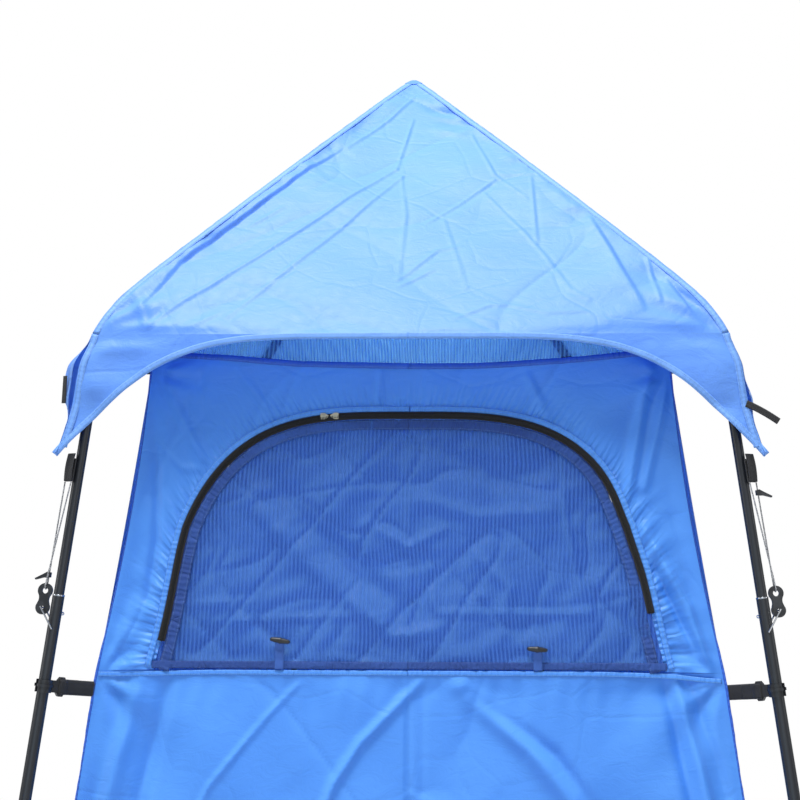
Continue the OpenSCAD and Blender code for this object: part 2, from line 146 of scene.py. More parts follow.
def soft(x, y, seed, deg, sx, sy):
    a, b = turned(x, y, deg, sx, sy)
    return vn(a, b, seed)


def to_line(x, y, pts):
    """distance to a line of points, the signed side, and the share along it"""
    best = np.full(np.shape(x), 1e9)
    side = np.zeros(np.shape(x))
    along = np.zeros(np.shape(x))
    pts = np.asarray(pts, float)
    seg = np.linalg.norm(pts[1:] - pts[:-1], axis=1)
    total = seg.sum()
    run = 0.0
    for (x0, y0), (x1, y1), length in zip(pts[:-1], pts[1:], seg):
        dx, dy = (x1 - x0) / length, (y1 - y0) / length
        t = np.clip((x - x0) * dx + (y - y0) * dy, 0, length)
        ex, ey = x - x0 - t * dx, y - y0 - t * dy
        d = np.hypot(ex, ey)
        near = d < best
        best = np.where(near, d, best)
        side = np.where(near, ex * -dy + ey * dx, side)
        along = np.where(near, (run + t) / total, along)
        run += length
    return best, side, along


def crease(x, y, pts, h, w):
    d, _, t = to_line(x, y, pts)
    return h * np.exp(-((d / w) ** 2)) * (0.35 + 0.65 * np.sin(np.pi * np.clip(t, 0.03, 0.97)) ** 0.5)


def tuck(x, y, pts, h, w, fade):
    """a fold that stands up on one side of its line and falls away on the other"""
    d, side, t = to_line(x, y, pts)
    return h * sstep(-w, w, side) * np.exp(-np.maximum(side, 0) / fade) * np.exp(-((d - np.abs(side)) / 0.02) ** 2) * np.sin(np.pi * np.clip(t, 0, 1)) ** 0.6


# ---------------------------------------------------------------- meshes
def make(name, verts, faces, mat, uv=None, seam=None, normals=None, smooth=True, painted_shade=None):
    me = bpy.data.meshes.new(name)
    me.from_pydata(np.asarray(verts, float).tolist(), [], [list(map(int, f)) for f in faces])
    me.update()
    me.polygons.foreach_set("use_smooth", np.full(len(me.polygons), smooth))
    loops = np.zeros(len(me.loops), np.int32)
    me.loops.foreach_get("vertex_index", loops)
    # the third UV layer carries the painted shade and highlight value made in sheet_mesh
    for label, vals in (("UVMap", uv), ("seam", seam), ("painted_shade", painted_shade)):
        if vals is not None:
            layer = me.uv_layers.new(name=label)
            layer.data.foreach_set("uv", np.asarray(vals, np.float32)[loops].ravel())
    if normals is not None:
        me.normals_split_custom_set_from_vertices(np.asarray(normals, float).tolist())
    me.materials.append(mat)
    ob = bpy.data.objects.new(name, me)
    SC.collection.objects.link(ob)
    return ob


def grid_normals(P, out):
    du = np.gradient(P, axis=1)
    dv = np.gradient(P, axis=0)
    n = np.cross(du, dv)
    n = unit(n)
    flip = np.sign((n * out).sum(-1, keepdims=True))
    flip[flip == 0] = 1
    return n * flip


def sheet_mesh(name, P, Nn, thick, mat, uv, seam=None, ref=None):
    """a closed thin sheet round the grid of points P"""
    m, n = P.shape[:2]
    idx = np.arange(m * n).reshape(m, n)
    a, b, c, d = idx[:-1, :-1].ravel(), idx[:-1, 1:].ravel(), idx[1:, 1:].ravel(), idx[1:, :-1].ravel()
    face_n = np.cross(P[:-1, 1:] - P[:-1, :-1], P[1:, 1:] - P[:-1, :-1]).reshape(-1, 3)
    same = float((face_n * Nn[:-1, :-1].reshape(-1, 3)).sum()) > 0
    quads = np.stack([a, b, c, d], 1) if same else np.stack([d, c, b, a], 1)
    k = m * n
    rim = np.concatenate([idx[0, :], idx[1:, -1], idx[-1, -2::-1], idx[-2:0:-1, 0]])
    nxt = np.roll(rim, -1)
    sides = np.stack([nxt, rim, rim + k, nxt + k], 1)
    if not same:
        sides = sides[:, ::-1]
    faces = np.concatenate([quads, quads[:, ::-1] + k, sides])
    flat, fn = P.reshape(-1, 3), Nn.reshape(-1, 3)
    verts = np.concatenate([flat + fn * thick / 2, flat - fn * thick / 2])
    uv2 = np.concatenate([np.reshape(uv, (-1, 2))] * 2)
    sm = None if seam is None else np.concatenate([np.reshape(seam, (-1, 2))] * 2)
    # painted shade and painted highlight: each point gets a value from how far its normal turns from the flat normal
    # ref towards a made-up light above and to one side, 0.5 where there is no ref; the cloth materials darken or
    # lighten their colour by it
    painted_shade = np.full((len(fn), 2), 0.5)
    if ref is not None:
        across = unit(np.cross(ref, ZUP))
        up = unit(np.cross(across, ref))
        painted_shade[:, 0] = np.clip(0.5 + 3.0 * (fn - ref) @ (up * 0.9 + across * 0.45), 0, 1)
    return make(name, verts, faces, mat, uv2, sm, np.concatenate([fn, -fn]), painted_shade=np.concatenate([painted_shade, painted_shade]))


ZUP = np.array([0.0, 0, 1])


def arc(pts):
    return np.concatenate([[0.0], np.cumsum(np.linalg.norm(np.diff(pts, axis=0), axis=1))])


def resample(pts, step):
    pts = np.asarray(pts, float)
    s = arc(pts)
    n = max(2, int(round(s[-1] / step)) + 1)
    t = np.linspace(0, s[-1], n)
    return np.stack([np.interp(t, s, pts[:, k]) for k in range(pts.shape[1])], 1)


def ribbon(name, C, Nn, width, thick, mat, off=0.0, puff=0.0, cut=6, widths=None):
    """a flat band with rounded long edges along the points C, facing Nn"""
    C, Nn = np.asarray(C, float), unit(Nn)
    T = unit(np.gradient(C, axis=0))
    B = unit(np.cross(Nn, T))
    Nn = unit(np.cross(T, B))
    s = arc(C)
    w = np.full(len(C), width) if widths is None else np.asarray(widths, float)
    prof = []
    for k in range(cut + 1):
        q = 2 * k / cut - 1
        prof.append((q * 0.5, (0.5 if 0 < k < cut else 0.22) + puff * (1 - q * q)))
    for k in range(cut, -1, -1):
        q = 2 * k / cut - 1
        prof.append((q * 0.5, -(0.5 if 0 < k < cut else 0.22)))
    n, m = len(C), len(prof)
    V = np.stack([C + B * (w * p[0])[:, None] + Nn * (off + thick * p[1]) for p in prof], 1)
    uv = np.stack([np.stack([s, w * p[0]], 1) for p in prof], 1)
    idx = np.arange(n * m).reshape(n, m)
    a, b = idx[:-1], idx[1:]
    faces = np.stack([a, np.roll(a, -1, 1), np.roll(b, -1, 1), b], -1).reshape(-1, 4)[:, ::-1]
    faces = [list(f) for f in faces] + [list(idx[0, :]), list(idx[-1, ::-1])]
    return make(name, V.reshape(-1, 3), faces, mat, uv.reshape(-1, 2))


def sweep(name, path, r, mat, sides=12, radii=None):
    """a round tube along the points, closed at both ends"""
    path = np.asarray(path, float)
    T = unit(np.gradient(path, axis=0))
    ref = np.array([0.0, 0, 1]) if abs(T[0][2]) < 0.8 else np.array([1.0, 0, 0])
    X = np.zeros_like(path)
    x = unit(ref - T[0] * ref.dot(T[0]))
    for k in range(len(path)):
        x = unit(x - T[k] * x.dot(T[k]))
        X[k] = x
    Y = np.cross(T, X)
    a = np.arange(sides) * 2 * math.pi / sides
    rr = np.full(len(path), r) if radii is None else np.asarray(radii, float)
    V = path[:, None, :] + rr[:, None, None] * (np.cos(a)[None, :, None] * X[:, None, :] + np.sin(a)[None, :, None] * Y[:, None, :])
    s = arc(path)
    uv = np.stack(np.broadcast_arrays(s[:, None], (a * r)[None, :]), -1)
    idx = np.arange(len(path) * sides).reshape(len(path), sides)
    p, q = idx[:-1], idx[1:]
    faces = np.stack([p, np.roll(p, -1, 1), np.roll(q, -1, 1), q], -1).reshape(-1, 4)
    faces = [list(f) for f in faces] + [list(idx[0, ::-1]), list(idx[-1, :])]
    return make(name, V.reshape(-1, 3), faces, mat, uv.reshape(-1, 2))


def blocks(name, centres, X, Y, Z, size, mat, chamfer=0.3):
    """many small chamfered blocks in one mesh: zipper teeth"""
    sx, sy, sz = (k / 2 for k in size)
    ring = [(-1, -1), (1, -1), (1, 1), (-1, 1)]
    local = [(x * sx, y * sy, -sz * 0.5) for x, y in ring] + [(x * sx * (1 - chamfer * 0.4), y * sy * (1 - chamfer), sz) for x, y in ring]
    base = [(3, 2, 1, 0), (4, 5, 6, 7), (0, 1, 5, 4), (1, 2, 6, 5), (2, 3, 7, 6), (3, 0, 4, 7)]
    L = np.array(local)
    V = centres[:, None, :] + L[None, :, 0:1] * X[:, None, :] + L[None, :, 1:2] * Y[:, None, :] + L[None, :, 2:3] * Z[:, None, :]
    faces = (np.array(base)[None] + (np.arange(len(centres)) * 8)[:, None, None]).reshape(-1, 4)
    uv = np.zeros((len(centres) * 8, 2))
    uv[:, 0] = np.repeat(np.arange(len(centres)) * 0.0025, 8)
    return make(name, V.reshape(-1, 3), faces, mat, uv, smooth=False)


# ---------------------------------------------------------------- materials
def lin(r, g, b):
    f = lambda c: (c / 255 / 12.92) if c <= 10.3 else ((c / 255 + 0.055) / 1.055) ** 2.4
    return (f(r), f(g), f(b), 1.0)


class Nodes:
    def __init__(self, name):
        self.mat = bpy.data.materials.new(name)
        self.mat.use_nodes = True
        self.nt = self.mat.node_tree
        self.nt.nodes.clear()
        self.out = self.nt.nodes.new("ShaderNodeOutputMaterial")

    def add(self, kind, props=None, ins=()):
        node = self.nt.nodes.new(kind)
        for k, v in (props or {}).items():
            setattr(node, k, v)
        for key, v in (ins.items() if isinstance(ins, dict) else enumerate(ins)):
            if v is None:
                continue
            s = node.inputs[key]
            if isinstance(v, bpy.types.NodeSocket):
                self.nt.links.new(v, s)
            else:
                s.default_value = v
        return node

    def math(self, op, a, b=None, clamp=False):
        return self.add("ShaderNodeMath", {"operation": op, "use_clamp": clamp}, [a, b]).outputs[0]

    def mix(self, fac, a, b):
        n = self.add("ShaderNodeMix", {"data_type": "RGBA"})
        for key, v in ((0, fac), (6, a), (7, b)):
            if isinstance(v, bpy.types.NodeSocket):
                self.nt.links.new(v, n.inputs[key])
            else:
                n.inputs[key].default_value = v
        return n.outputs[2]

    def uv(self, layer="UVMap"):
        return self.add("ShaderNodeUVMap", {"uv_map": layer}).outputs[0]

    def scaled(self, vec, sx, sy, sz=1.0):
        return self.add("ShaderNodeMapping", None, {"Vector": vec, "Scale": (sx, sy, sz)}).outputs[0]

    def noise(self, vec, scale, detail=3.0, rough=0.55, dist=0.0, kind=None):
        n = self.add("ShaderNodeTexNoise", {"noise_type": kind} if kind else None, {"Vector": vec, "Scale": scale, "Detail": detail, "Roughness": rough, "Distortion": dist})
        return n.outputs[0]

    def ramp(self, fac, stops):
        n = self.add("ShaderNodeValToRGB", None, [fac])
        e = n.color_ramp.elements
        while len(e) < len(stops):
            e.new(0.5)
        for k, (p, c) in enumerate(stops):
            e[k].position = p
            e[k].color = (c, c, c, 1) if isinstance(c, (int, float)) else c
        return n.outputs[0]

    def split(self, vec):
        n = self.add("ShaderNodeSeparateXYZ", None, [vec])
        return n.outputs[0], n.outputs[1]

    def bump(self, height, strength, dist, normal=None):
        return self.add("ShaderNodeBump", None, {"Height": height, "Strength": strength, "Distance": dist, "Normal": normal}).outputs[0]

    def principled(self, **ins):
        return self.add("ShaderNodeBsdfPrincipled", None, {k.replace("_", " "): v for k, v in ins.items()}).outputs[0]

    def end(self, shader):
        self.nt.links.new(shader, self.out.inputs[0])
        return self.mat


def fabric(name, light, dark, rough=0.5, see=0.22, crinkle=1.0, stitch_rows=(), stitch_col=None, weave=0.0008, seam=False, puck=0.0, fine=1.0, painted_shade_colours=None, st_mix=0.8, gather=0.32):
    """coated polyester cloth: plain weave, packed-in creases, soft patches, stitch rows along a band"""
    k = Nodes(name)
    uv = k.uv()
    u, v = k.split(uv)
    patch = k.noise(uv, 3.2, 4, 0.6)
    col = k.mix(k.ramp(patch, [(0.35, 0.0), (0.68, 1.0)]), dark, light)
    # painted shade and painted highlight: the colour moves towards a darker blue or a lighter blue by the shade value
    # that sheet_mesh works out from each fold's tilt
    if painted_shade_colours:
        painted_shade_fac = k.split(k.uv("painted_shade"))[0]
        col = k.mix(k.ramp(painted_shade_fac, [(0.05, 0.0), (0.95, 1.0)]), k.mix(0.5, col, painted_shade_colours[0]), k.mix(0.5, col, painted_shade_colours[1]))
    # weave: two crossed sets of threads
    wu = k.math("SINE", k.math("MULTIPLY", u, 2 * math.pi / weave))
    wv = k.math("SINE", k.math("MULTIPLY", v, 2 * math.pi / weave))
    weave_h = k.math("MULTIPLY", wu, wv)
    # creases pressed in by packing
    warp = k.noise(uv, 5.0, 2, 0.5)
    big = k.noise(uv, 7.0 * fine, 3, 0.5, 0.4, "RIDGED_MULTIFRACTAL")
    small = k.noise(k.scaled(uv, 1.0, 1.6), 26.0 * fine, 4, 0.62, 0.8)
    vor = k.add("ShaderNodeTexVoronoi", {"feature": "DISTANCE_TO_EDGE"}, {"Vector": k.add("ShaderNodeVectorMath", {"operation": "ADD"}, [uv, k.add("ShaderNodeVectorMath", {"operation": "SCALE"}, {0: k.add("ShaderNodeTexNoise", None, {"Vector": uv, "Scale": 6.0}).outputs[1], 3: 0.05}).outputs[0]]).outputs[0], "Scale": 6.5 * fine}).outputs[0]
    net = k.ramp(vor, [(0.0, 0.0), (0.035, 1.0)])
    h = k.math("ADD", k.math("MULTIPLY", big, 0.5), k.math("MULTIPLY", small, 0.55))
    h = k.math("ADD", h, k.math("MULTIPLY", net, 0.16))
    nrm = k.bump(h, 0.42 * crinkle, 0.006)
    nrm = k.bump(weave_h, 0.05, 0.0002, nrm)
    if seam:
        s, d = k.split(k.uv("seam"))
        wob = k.noise(k.scaled(k.uv("seam"), 60.0, 18.0), 1.0, 2, 0.5)
        phase = k.math("ADD", k.math("MULTIPLY", s, 2 * math.pi / 0.0105), k.math("MULTIPLY", wob, 9.0))
        near = k.math("POWER", 2.718, k.math("MULTIPLY", k.math("ABSOLUTE", d), -1 / 0.022))
        nrm = k.bump(k.math("MULTIPLY", k.math("SINE", phase), near), puck, 0.004, nrm)
    for row in stitch_rows:
        band = k.math("LESS_THAN", k.math("ABSOLUTE", k.math("SUBTRACT", v, row)), 0.00055)
        dash = k.math("LESS_THAN", k.math("FRACT", k.math("DIVIDE", u, 0.0034)), 0.68)
        st = k.math("MULTIPLY", band, dash)
        # the groove along the stitch row is pressed in by the bump below, and its colour is darkened there as painted
        # shade
        groove = k.math("LESS_THAN", k.math("ABSOLUTE", k.math("SUBTRACT", v, row)), 0.0012)
        col = k.mix(k.math("MULTIPLY", groove, 0.35), col, tuple(c * 0.45 for c in dark[:3]) + (1,))
        col = k.mix(k.math("MULTIPLY", st, st_mix), col, stitch_col or light)
        nrm = k.bump(k.math("SUBTRACT", st, groove), 0.5, 0.0006, nrm)
    if stitch_rows:
        pk = k.math("SINE", k.math("ADD", k.math("MULTIPLY", u, 2 * math.pi / 0.009), k.math("MULTIPLY", k.noise(uv, 40.0, 2), 10.0)))
        nrm = k.bump(pk, gather, 0.0014, nrm)
    rg = k.math("ADD", rough, k.math("MULTIPLY", k.noise(uv, 60.0, 2), 0.14))
    p = k.principled(Base_Color=col, Roughness=rg, Normal=nrm, Sheen_Weight=0.12, Sheen_Roughness=0.4)
    if see > 0:
        t = k.add("ShaderNodeBsdfTranslucent", None, {"Color": col, "Normal": nrm}).outputs[0]
        p = k.add("ShaderNodeMixShader", None, [see, p, t]).outputs[0]
    return k.end(p)


def netting(name, light, dark, open_share, stripe, see_dark=0.55):
    """fine striped mosquito mesh: part of the light goes straight through"""
    k = Nodes(name)
    uv = k.uv()
    u, v = k.split(uv)
    bend = k.math("MULTIPLY", k.noise(uv, 2.2, 3, 0.55, 0.3), 0.05)
    w = k.math("SINE", k.math("MULTIPLY", k.math("ADD", u, bend), 2 * math.pi / stripe))
    w = k.math("MULTIPLY_ADD", w, 0.5)
    k.nt.nodes[-1].inputs[2].default_value = 0.5
    hole = k.math("MULTIPLY", k.math("SINE", k.math("MULTIPLY", u, 2 * math.pi / 0.0016)), k.math("SINE", k.math("MULTIPLY", v, 2 * math.pi / 0.0016)))
    patch = k.noise(uv, 4.0, 3, 0.6)
    col = k.mix(w, dark, light)
    fac = k.math("ADD", k.math("MULTIPLY", w, 0.22), k.math("MULTIPLY", patch, 0.12))
    fac = k.math("ADD", fac, k.math("MULTIPLY", hole, 0.05))
    fac = k.math("SUBTRACT", open_share + 0.06, fac, True)
    p = k.principled(Base_Color=col, Roughness=0.65, Normal=k.bump(hole, 0.2, 0.0004))
    t = k.add("ShaderNodeBsdfTransparent", None, [(0.93, 0.96, 1, 1)]).outputs[0]
    return k.end(k.add("ShaderNodeMixShader", None, [fac, p, t]).outputs[0])


def webbing(name, c1, c2, rib=0.0021, width=0.025):
    k = Nodes(name)
    uv = k.uv()
    u, v = k.split(uv)
    a = k.math("SINE", k.math("MULTIPLY", k.math("ADD", u, k.math("MULTIPLY", k.math("ABSOLUTE", v), 0.9)), 2 * math.pi / rib))
    b = k.math("SINE", k.math("MULTIPLY", v, 2 * math.pi / (width / 9)))
    h = k.math("MULTIPLY", a, b)
    fleck = k.noise(uv, 900.0, 2)
    col = k.mix(k.math("MULTIPLY", k.math("ADD", k.math("MULTIPLY", h, 0.5), 0.5), fleck), c1, c2)
    edge = k.math("GREATER_THAN", k.math("ABSOLUTE", v), width / 2 - 0.0018)
    col = k.mix(k.math("MULTIPLY", edge, 0.5), col, tuple(min(1, x * 1.9) for x in c2[:3]) + (1,))
    nrm = k.bump(h, 0.55, 0.0008)
    return k.end(k.principled(Base_Color=col, Roughness=k.math("ADD", 0.62, k.math("MULTIPLY", fleck, 0.2)), Normal=nrm, Sheen_Weight=0.04))


def solid(name, c1, c2, rough, metallic=0.0, grain=260.0, bump=0.12, wear=None, coat=0.0, scale=18.0):
    """moulded plastic, powder coat or bare metal, in object space"""
    k = Nodes(name)
    pos = k.add("ShaderNodeNewGeometry").outputs["Position"]
    n1 = k.noise(pos, scale, 4, 0.6)
    n2 = k.noise(pos, grain, 3, 0.6)
    col = k.mix(n1, c1, c2)
    if wear:
        pt = k.add("ShaderNodeNewGeometry").outputs["Pointiness"]
        edge = k.math("MULTIPLY", k.ramp(pt, [(0.52, 0.0), (0.58, 1.0)]), k.ramp(k.noise(pos, 70.0, 3), [(0.42, 0.0), (0.62, 1.0)]))
        col = k.mix(k.math("MULTIPLY", edge, 0.6), col, wear)
    rg = k.math("ADD", rough - 0.08, k.math("MULTIPLY", k.noise(pos, 55.0, 3), 0.16))
    return k.end(k.principled(Base_Color=col, Roughness=rg, Metallic=metallic, Coat_Weight=coat, Normal=k.bump(n2, bump, 0.0005)))


FLY_A, FLY_B = (0.182, 0.435, 0.95, 1), (0.168, 0.410, 0.93, 1)
WALL_A, WALL_B = (0.076, 0.310, 0.88, 1), (0.070, 0.292, 0.86, 1)
# painted shade and painted highlight colours for the wall cloth: the darker blue on folds turned from the made-up
# light, the lighter blue on folds turned to it
WALL_PAINTED_SHADE = ((0.038, 0.215, 0.77, 1), (0.120, 0.39, 0.97, 1))
# the fly's last colour pair is painted shade and painted highlight on its folds
fly_m = fabric("fly_cloth", FLY_A, FLY_B, rough=0.42, see=0.38, crinkle=1.1, painted_shade_colours=((0.12, 0.33, 0.86, 1), (0.22, 0.48, 1.0, 1)))
hem_m = fabric("fly_hem", (0.175, 0.38, 0.86, 1), (0.145, 0.34, 0.82, 1), rough=0.5, see=0.12, crinkle=0.8, stitch_rows=(-0.0032, 0.0032), stitch_col=(0.24, 0.49, 0.93, 1), st_mix=0.4, gather=0.10)
ridge_m = fabric("fly_seam", (0.19, 0.41, 0.90, 1), (0.165, 0.37, 0.86, 1), rough=0.55, see=0.2, crinkle=1.0, stitch_rows=(-0.0034, 0.0034), stitch_col=(0.22, 0.46, 0.93, 1), st_mix=0.25, gather=0.10)
wall_m = fabric("wall_cloth", WALL_A, WALL_B, rough=0.42, see=0.16, crinkle=1.1, painted_shade_colours=WALL_PAINTED_SHADE)
frame_m = fabric("window_surround", WALL_A, WALL_B, rough=0.42, see=0.16, crinkle=1.1, seam=True, puck=0.6, painted_shade_colours=WALL_PAINTED_SHADE)
# the flap's last colour pair is strong painted shade and painted highlight on its creases
flap_m = fabric("flap_cloth", (0.105, 0.37, 1.0, 1), (0.085, 0.32, 0.94, 1), rough=0.36, see=0.1, crinkle=1.9, fine=1.25, painted_shade_colours=((0.01, 0.15, 0.62, 1), (0.36, 0.74, 1.0, 1)))
seam_m = fabric("wall_seam", (0.074, 0.29, 0.83, 1), (0.052, 0.23, 0.76, 1), rough=0.55, see=0.0, crinkle=1.0, stitch_rows=(-0.0028, 0.0028), stitch_col=(0.16, 0.42, 0.92, 1))
bind_m = fabric("binding", lin(44, 98, 200), lin(30, 80, 182), rough=0.55, see=0.0, crinkle=0.6, stitch_rows=(-0.003,), stitch_col=lin(70, 125, 215))
tape_m = fabric("seam_tape", lin(20, 26, 84), lin(12, 16, 64), rough=0.6, see=0.0, crinkle=0.4, stitch_rows=(-0.004, 0.004), stitch_col=lin(60, 70, 150))
border_m = fabric("mesh_border", lin(42, 84, 162), lin(20, 50, 116), rough=0.75, see=0.0, crinkle=2.2, stitch_rows=(-0.0065, 0.0065), stitch_col=lin(70, 112, 184), fine=2.2)
tag_m = fabric("loop_tape", lin(50, 96, 176), lin(38, 78, 156), rough=0.6, see=0.0, crinkle=1.2)
tent_net = netting("roof_mesh", (0.50, 0.90, 0.94, 1), (0.20, 0.58, 0.84, 1), 0.66, 0.0072)
front_net = netting("roof_mesh_front", (0.46, 0.86, 0.94, 1), (0.24, 0.62, 0.86, 1), 0.87, 0.0072)
win_net = netting("window_mesh", lin(60, 113, 200), lin(40, 82, 166), 0.74, 0.0068)
web_m = webbing("webbing", lin(14, 14, 16), lin(34, 34, 38))
tab_m = webbing("tab_webbing", lin(14, 14, 16), lin(34, 34, 38), width=0.012)
plastic_m = solid("black_plastic", lin(17, 18, 21), lin(25, 26, 30), 0.42, grain=420, bump=0.18, wear=lin(52, 54, 58), coat=0.05)
tube_m = solid("coated_tube", lin(22, 25, 30), lin(29, 32, 38), 0.40, grain=700, bump=0.12, coat=0.1, scale=9)
steel_m = solid("bright_steel", lin(196, 199, 204), lin(160, 164, 170), 0.26, metallic=1.0, grain=900, bump=0.06, wear=lin(235, 235, 235))
brass_m = solid("slider_metal", lin(196, 194, 182), lin(150, 150, 136), 0.32, metallic=0.85, grain=900, bump=0.1, wear=lin(225, 218, 190))
zip_m = webbing("zipper_tape", lin(7, 7, 9), lin(16, 16, 19), rib=0.0014, width=0.0125)
teeth_m = solid("zipper_coil", lin(8, 8, 10), lin(18, 18, 21), 0.42, grain=500, bump=0.1)
thread_m = solid("cord_stop_thread", lin(30, 30, 33), lin(60, 60, 64), 0.6)


def cord_material():
    k = Nodes("fly_line")
    uv = k.uv()
    u, v = k.split(uv)
    a = k.math("SINE", k.math("MULTIPLY", k.math("ADD", u, k.math("MULTIPLY", v, 1.2)), 2 * math.pi / 0.0032))
    b = k.math("SINE", k.math("MULTIPLY", k.math("SUBTRACT", u, k.math("MULTIPLY", v, 1.2)), 2 * math.pi / 0.0032))
    fleck = k.noise(uv, 420.0, 2, 0.5)
    col = k.mix(k.ramp(k.math("ADD", k.math("MULTIPLY", k.math("MULTIPLY", a, b), 0.3), fleck), [(0.42, 0.0), (0.56, 1.0)]), lin(22, 22, 24), lin(205, 205, 208))
    return k.end(k.principled(Base_Color=col, Roughness=0.75, Normal=k.bump(k.math("MULTIPLY", a, b), 0.6, 0.0006), Sheen_Weight=0.2))


cord_m = cord_material()

# ---------------------------------------------------------------- fly lines, the free cords
ROUTE = [(-18, 19, 180.6), (-9, 12, 94), (-0.4, 5.2, 14), (0, 5, 7.6), (0, 4.3, 5.1), (0, 2.5, 3.3), (0, 0, 2.6),
         (0, -2.5, 3.3), (0, -4.3, 5.1), (0, -5, 7.6), (-0.1, -4.8, 14), (-2, 0.1, 94), (-4, 5, 180.6)]
ROUTE = np.array(ROUTE) / 1000.0


def fine_route():
    """the same route with a true half circle in the tensioner's hole"""
    a = np.linspace(0, math.pi, 13)
    bend = np.stack([np.zeros(13), 0.005 * np.cos(a), 0.0076 - 0.005 * np.sin(a)], 1)
    up1 = np.stack([np.interp(np.linspace(0, 1, 15), [0, 1], [p, q]) for p, q in zip(ROUTE[0], ROUTE[2])], 1)
    up2 = np.stack([np.interp(np.linspace(0, 1, 15), [0, 1], [p, q]) for p, q in zip(ROUTE[10], ROUTE[12])], 1)
    return np.concatenate([up1, bend, up2])


for corner, (phi, turn) in CORNERS.items():
    r = fine_route()
    path = beside(corner, TEN_D + r[:, 0], r[:, 1] * turn, -TEN_AT + r[:, 2])
    line = sweep("fly_line_" + corner, path, 0.00125, cord_m, 10)
    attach(line, "leg_" + corner)
    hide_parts("tension_cord_" + corner)

# ---------------------------------------------------------------- helpers that hang each cloth piece on its frame body and hide the CAD node it replaces


def gather(ob, s, side, corner_dir, anchor, keep=0.1):
    """gives the half panel its own copy of its mesh data"""
    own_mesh(ob)


def ridge_dir(corner):
    sx, sy = SIGNS[corner]
    return np.array([sx * FLY_HALF, sy * FLY_HALF, FLY_EAVE - FLY_PEAK])


def leg_line_dir(corner):
    sx, sy = SIGNS[corner]
    return np.array([sx * 0.11, sy * 0.11, -1.0])


def wall_line_dir(corner):
    sx, sy = SIGNS[corner]
    return np.array([sx * (BODY_TOP - BODY_FOOT), sy * (BODY_TOP - BODY_FOOT), WALL_TOP - WALL_HEM])


def roof_part(ob, s, side, corner, node, keep=0.1):
    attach(ob, "arm_" + corner)
    sx, sy = SIGNS[corner]
    gather(ob, s, side, ridge_dir(corner), (sx * FLY_HALF / 2, sy * FLY_HALF / 2, (FLY_PEAK + FLY_EAVE) / 2), keep)
    if node:
        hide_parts(node)


def leg_part(ob, s, side, corner, node, walls=True, keep=0.1):
    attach(ob, "leg_" + corner)
    sx, sy = SIGNS[corner]
    if walls:
        h = BODY_FOOT - (BODY_FOOT - BODY_TOP) * (1.0 - WALL_HEM) / (WALL_TOP - WALL_HEM)
        gather(ob, s, side, wall_line_dir(corner), (sx * h, sy * h, 1.0), keep)
    else:
        gather(ob, s, side, leg_line_dir(corner), (sx * FLY_HALF, sy * FLY_HALF, FLY_EAVE), keep)
    if node:
        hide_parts(node)


# ---------------------------------------------------------------- fly
def ridge_lift(t):
    t = np.asarray(t, float)
    return 0.030 * (1 - (1 - t) ** 1.6) * (1 - np.clip(t, 0, 1) ** 26)


def round_off(t):
    return np.sqrt(np.asarray(t, float) ** 2 + (TIP / FLY_HALF) ** 2)


def roof_base(u, t):
    h = t * FLY_HALF
    z = FLY_PEAK - (FLY_PEAK - FLY_EAVE) * round_off(t) - 0.030 * t * (1 - t) * (1 - u * u) + ridge_lift(t) * np.abs(u) ** 2.4
    z = z + 0.004 * np.sin(np.clip(t, 0, 1) * math.pi) * (1 - u * u)
    return np.stack(np.broadcast_arrays(u * h, -h, z), -1)


def drop(u):
    return 0.008 + 0.200 * np.abs(u) ** 5.5


EARS = {(0, -1): (0.004, 0.03, 0.12), (0, 1): (0.003, 0.03, 0.12), (3, 1): (0.030, 0.030, 0.150), (3, -1): (0.010, 0.03, 0.15),
        (1, -1): (0.021, 0.095, 0.150), (1, 1): (0.014, 0.03, 0.15), (2, -1): (0.010, 0.03, 0.15), (2, 1): (0.006, 0.03, 0.15)}


def corner_flare(k):
    return 0.010 * sstep(0.0, 0.06, k) + 0.009 * sstep(0.11, 0.208, k)


def skirt_base(s, u, f):
    k = drop(u) * f
    h = FLY_HALF + 0.11 * k + corner_flare(k) * np.abs(u) ** 6
    bow = np.zeros_like(k)
    for sign in (-1, 1):
        e, k0, k1 = EARS[(s, sign)]
        bow = bow + e * np.exp(-((u * sign - 0.945) / 0.05) ** 2) * sstep(k0 - 0.03, k0 + 0.025, k) * (1 - sstep(k1 - 0.045, k1 + 0.005, k))
    return np.stack(np.broadcast_arrays(u * h, -(h + bow), FLY_EAVE - k), -1)


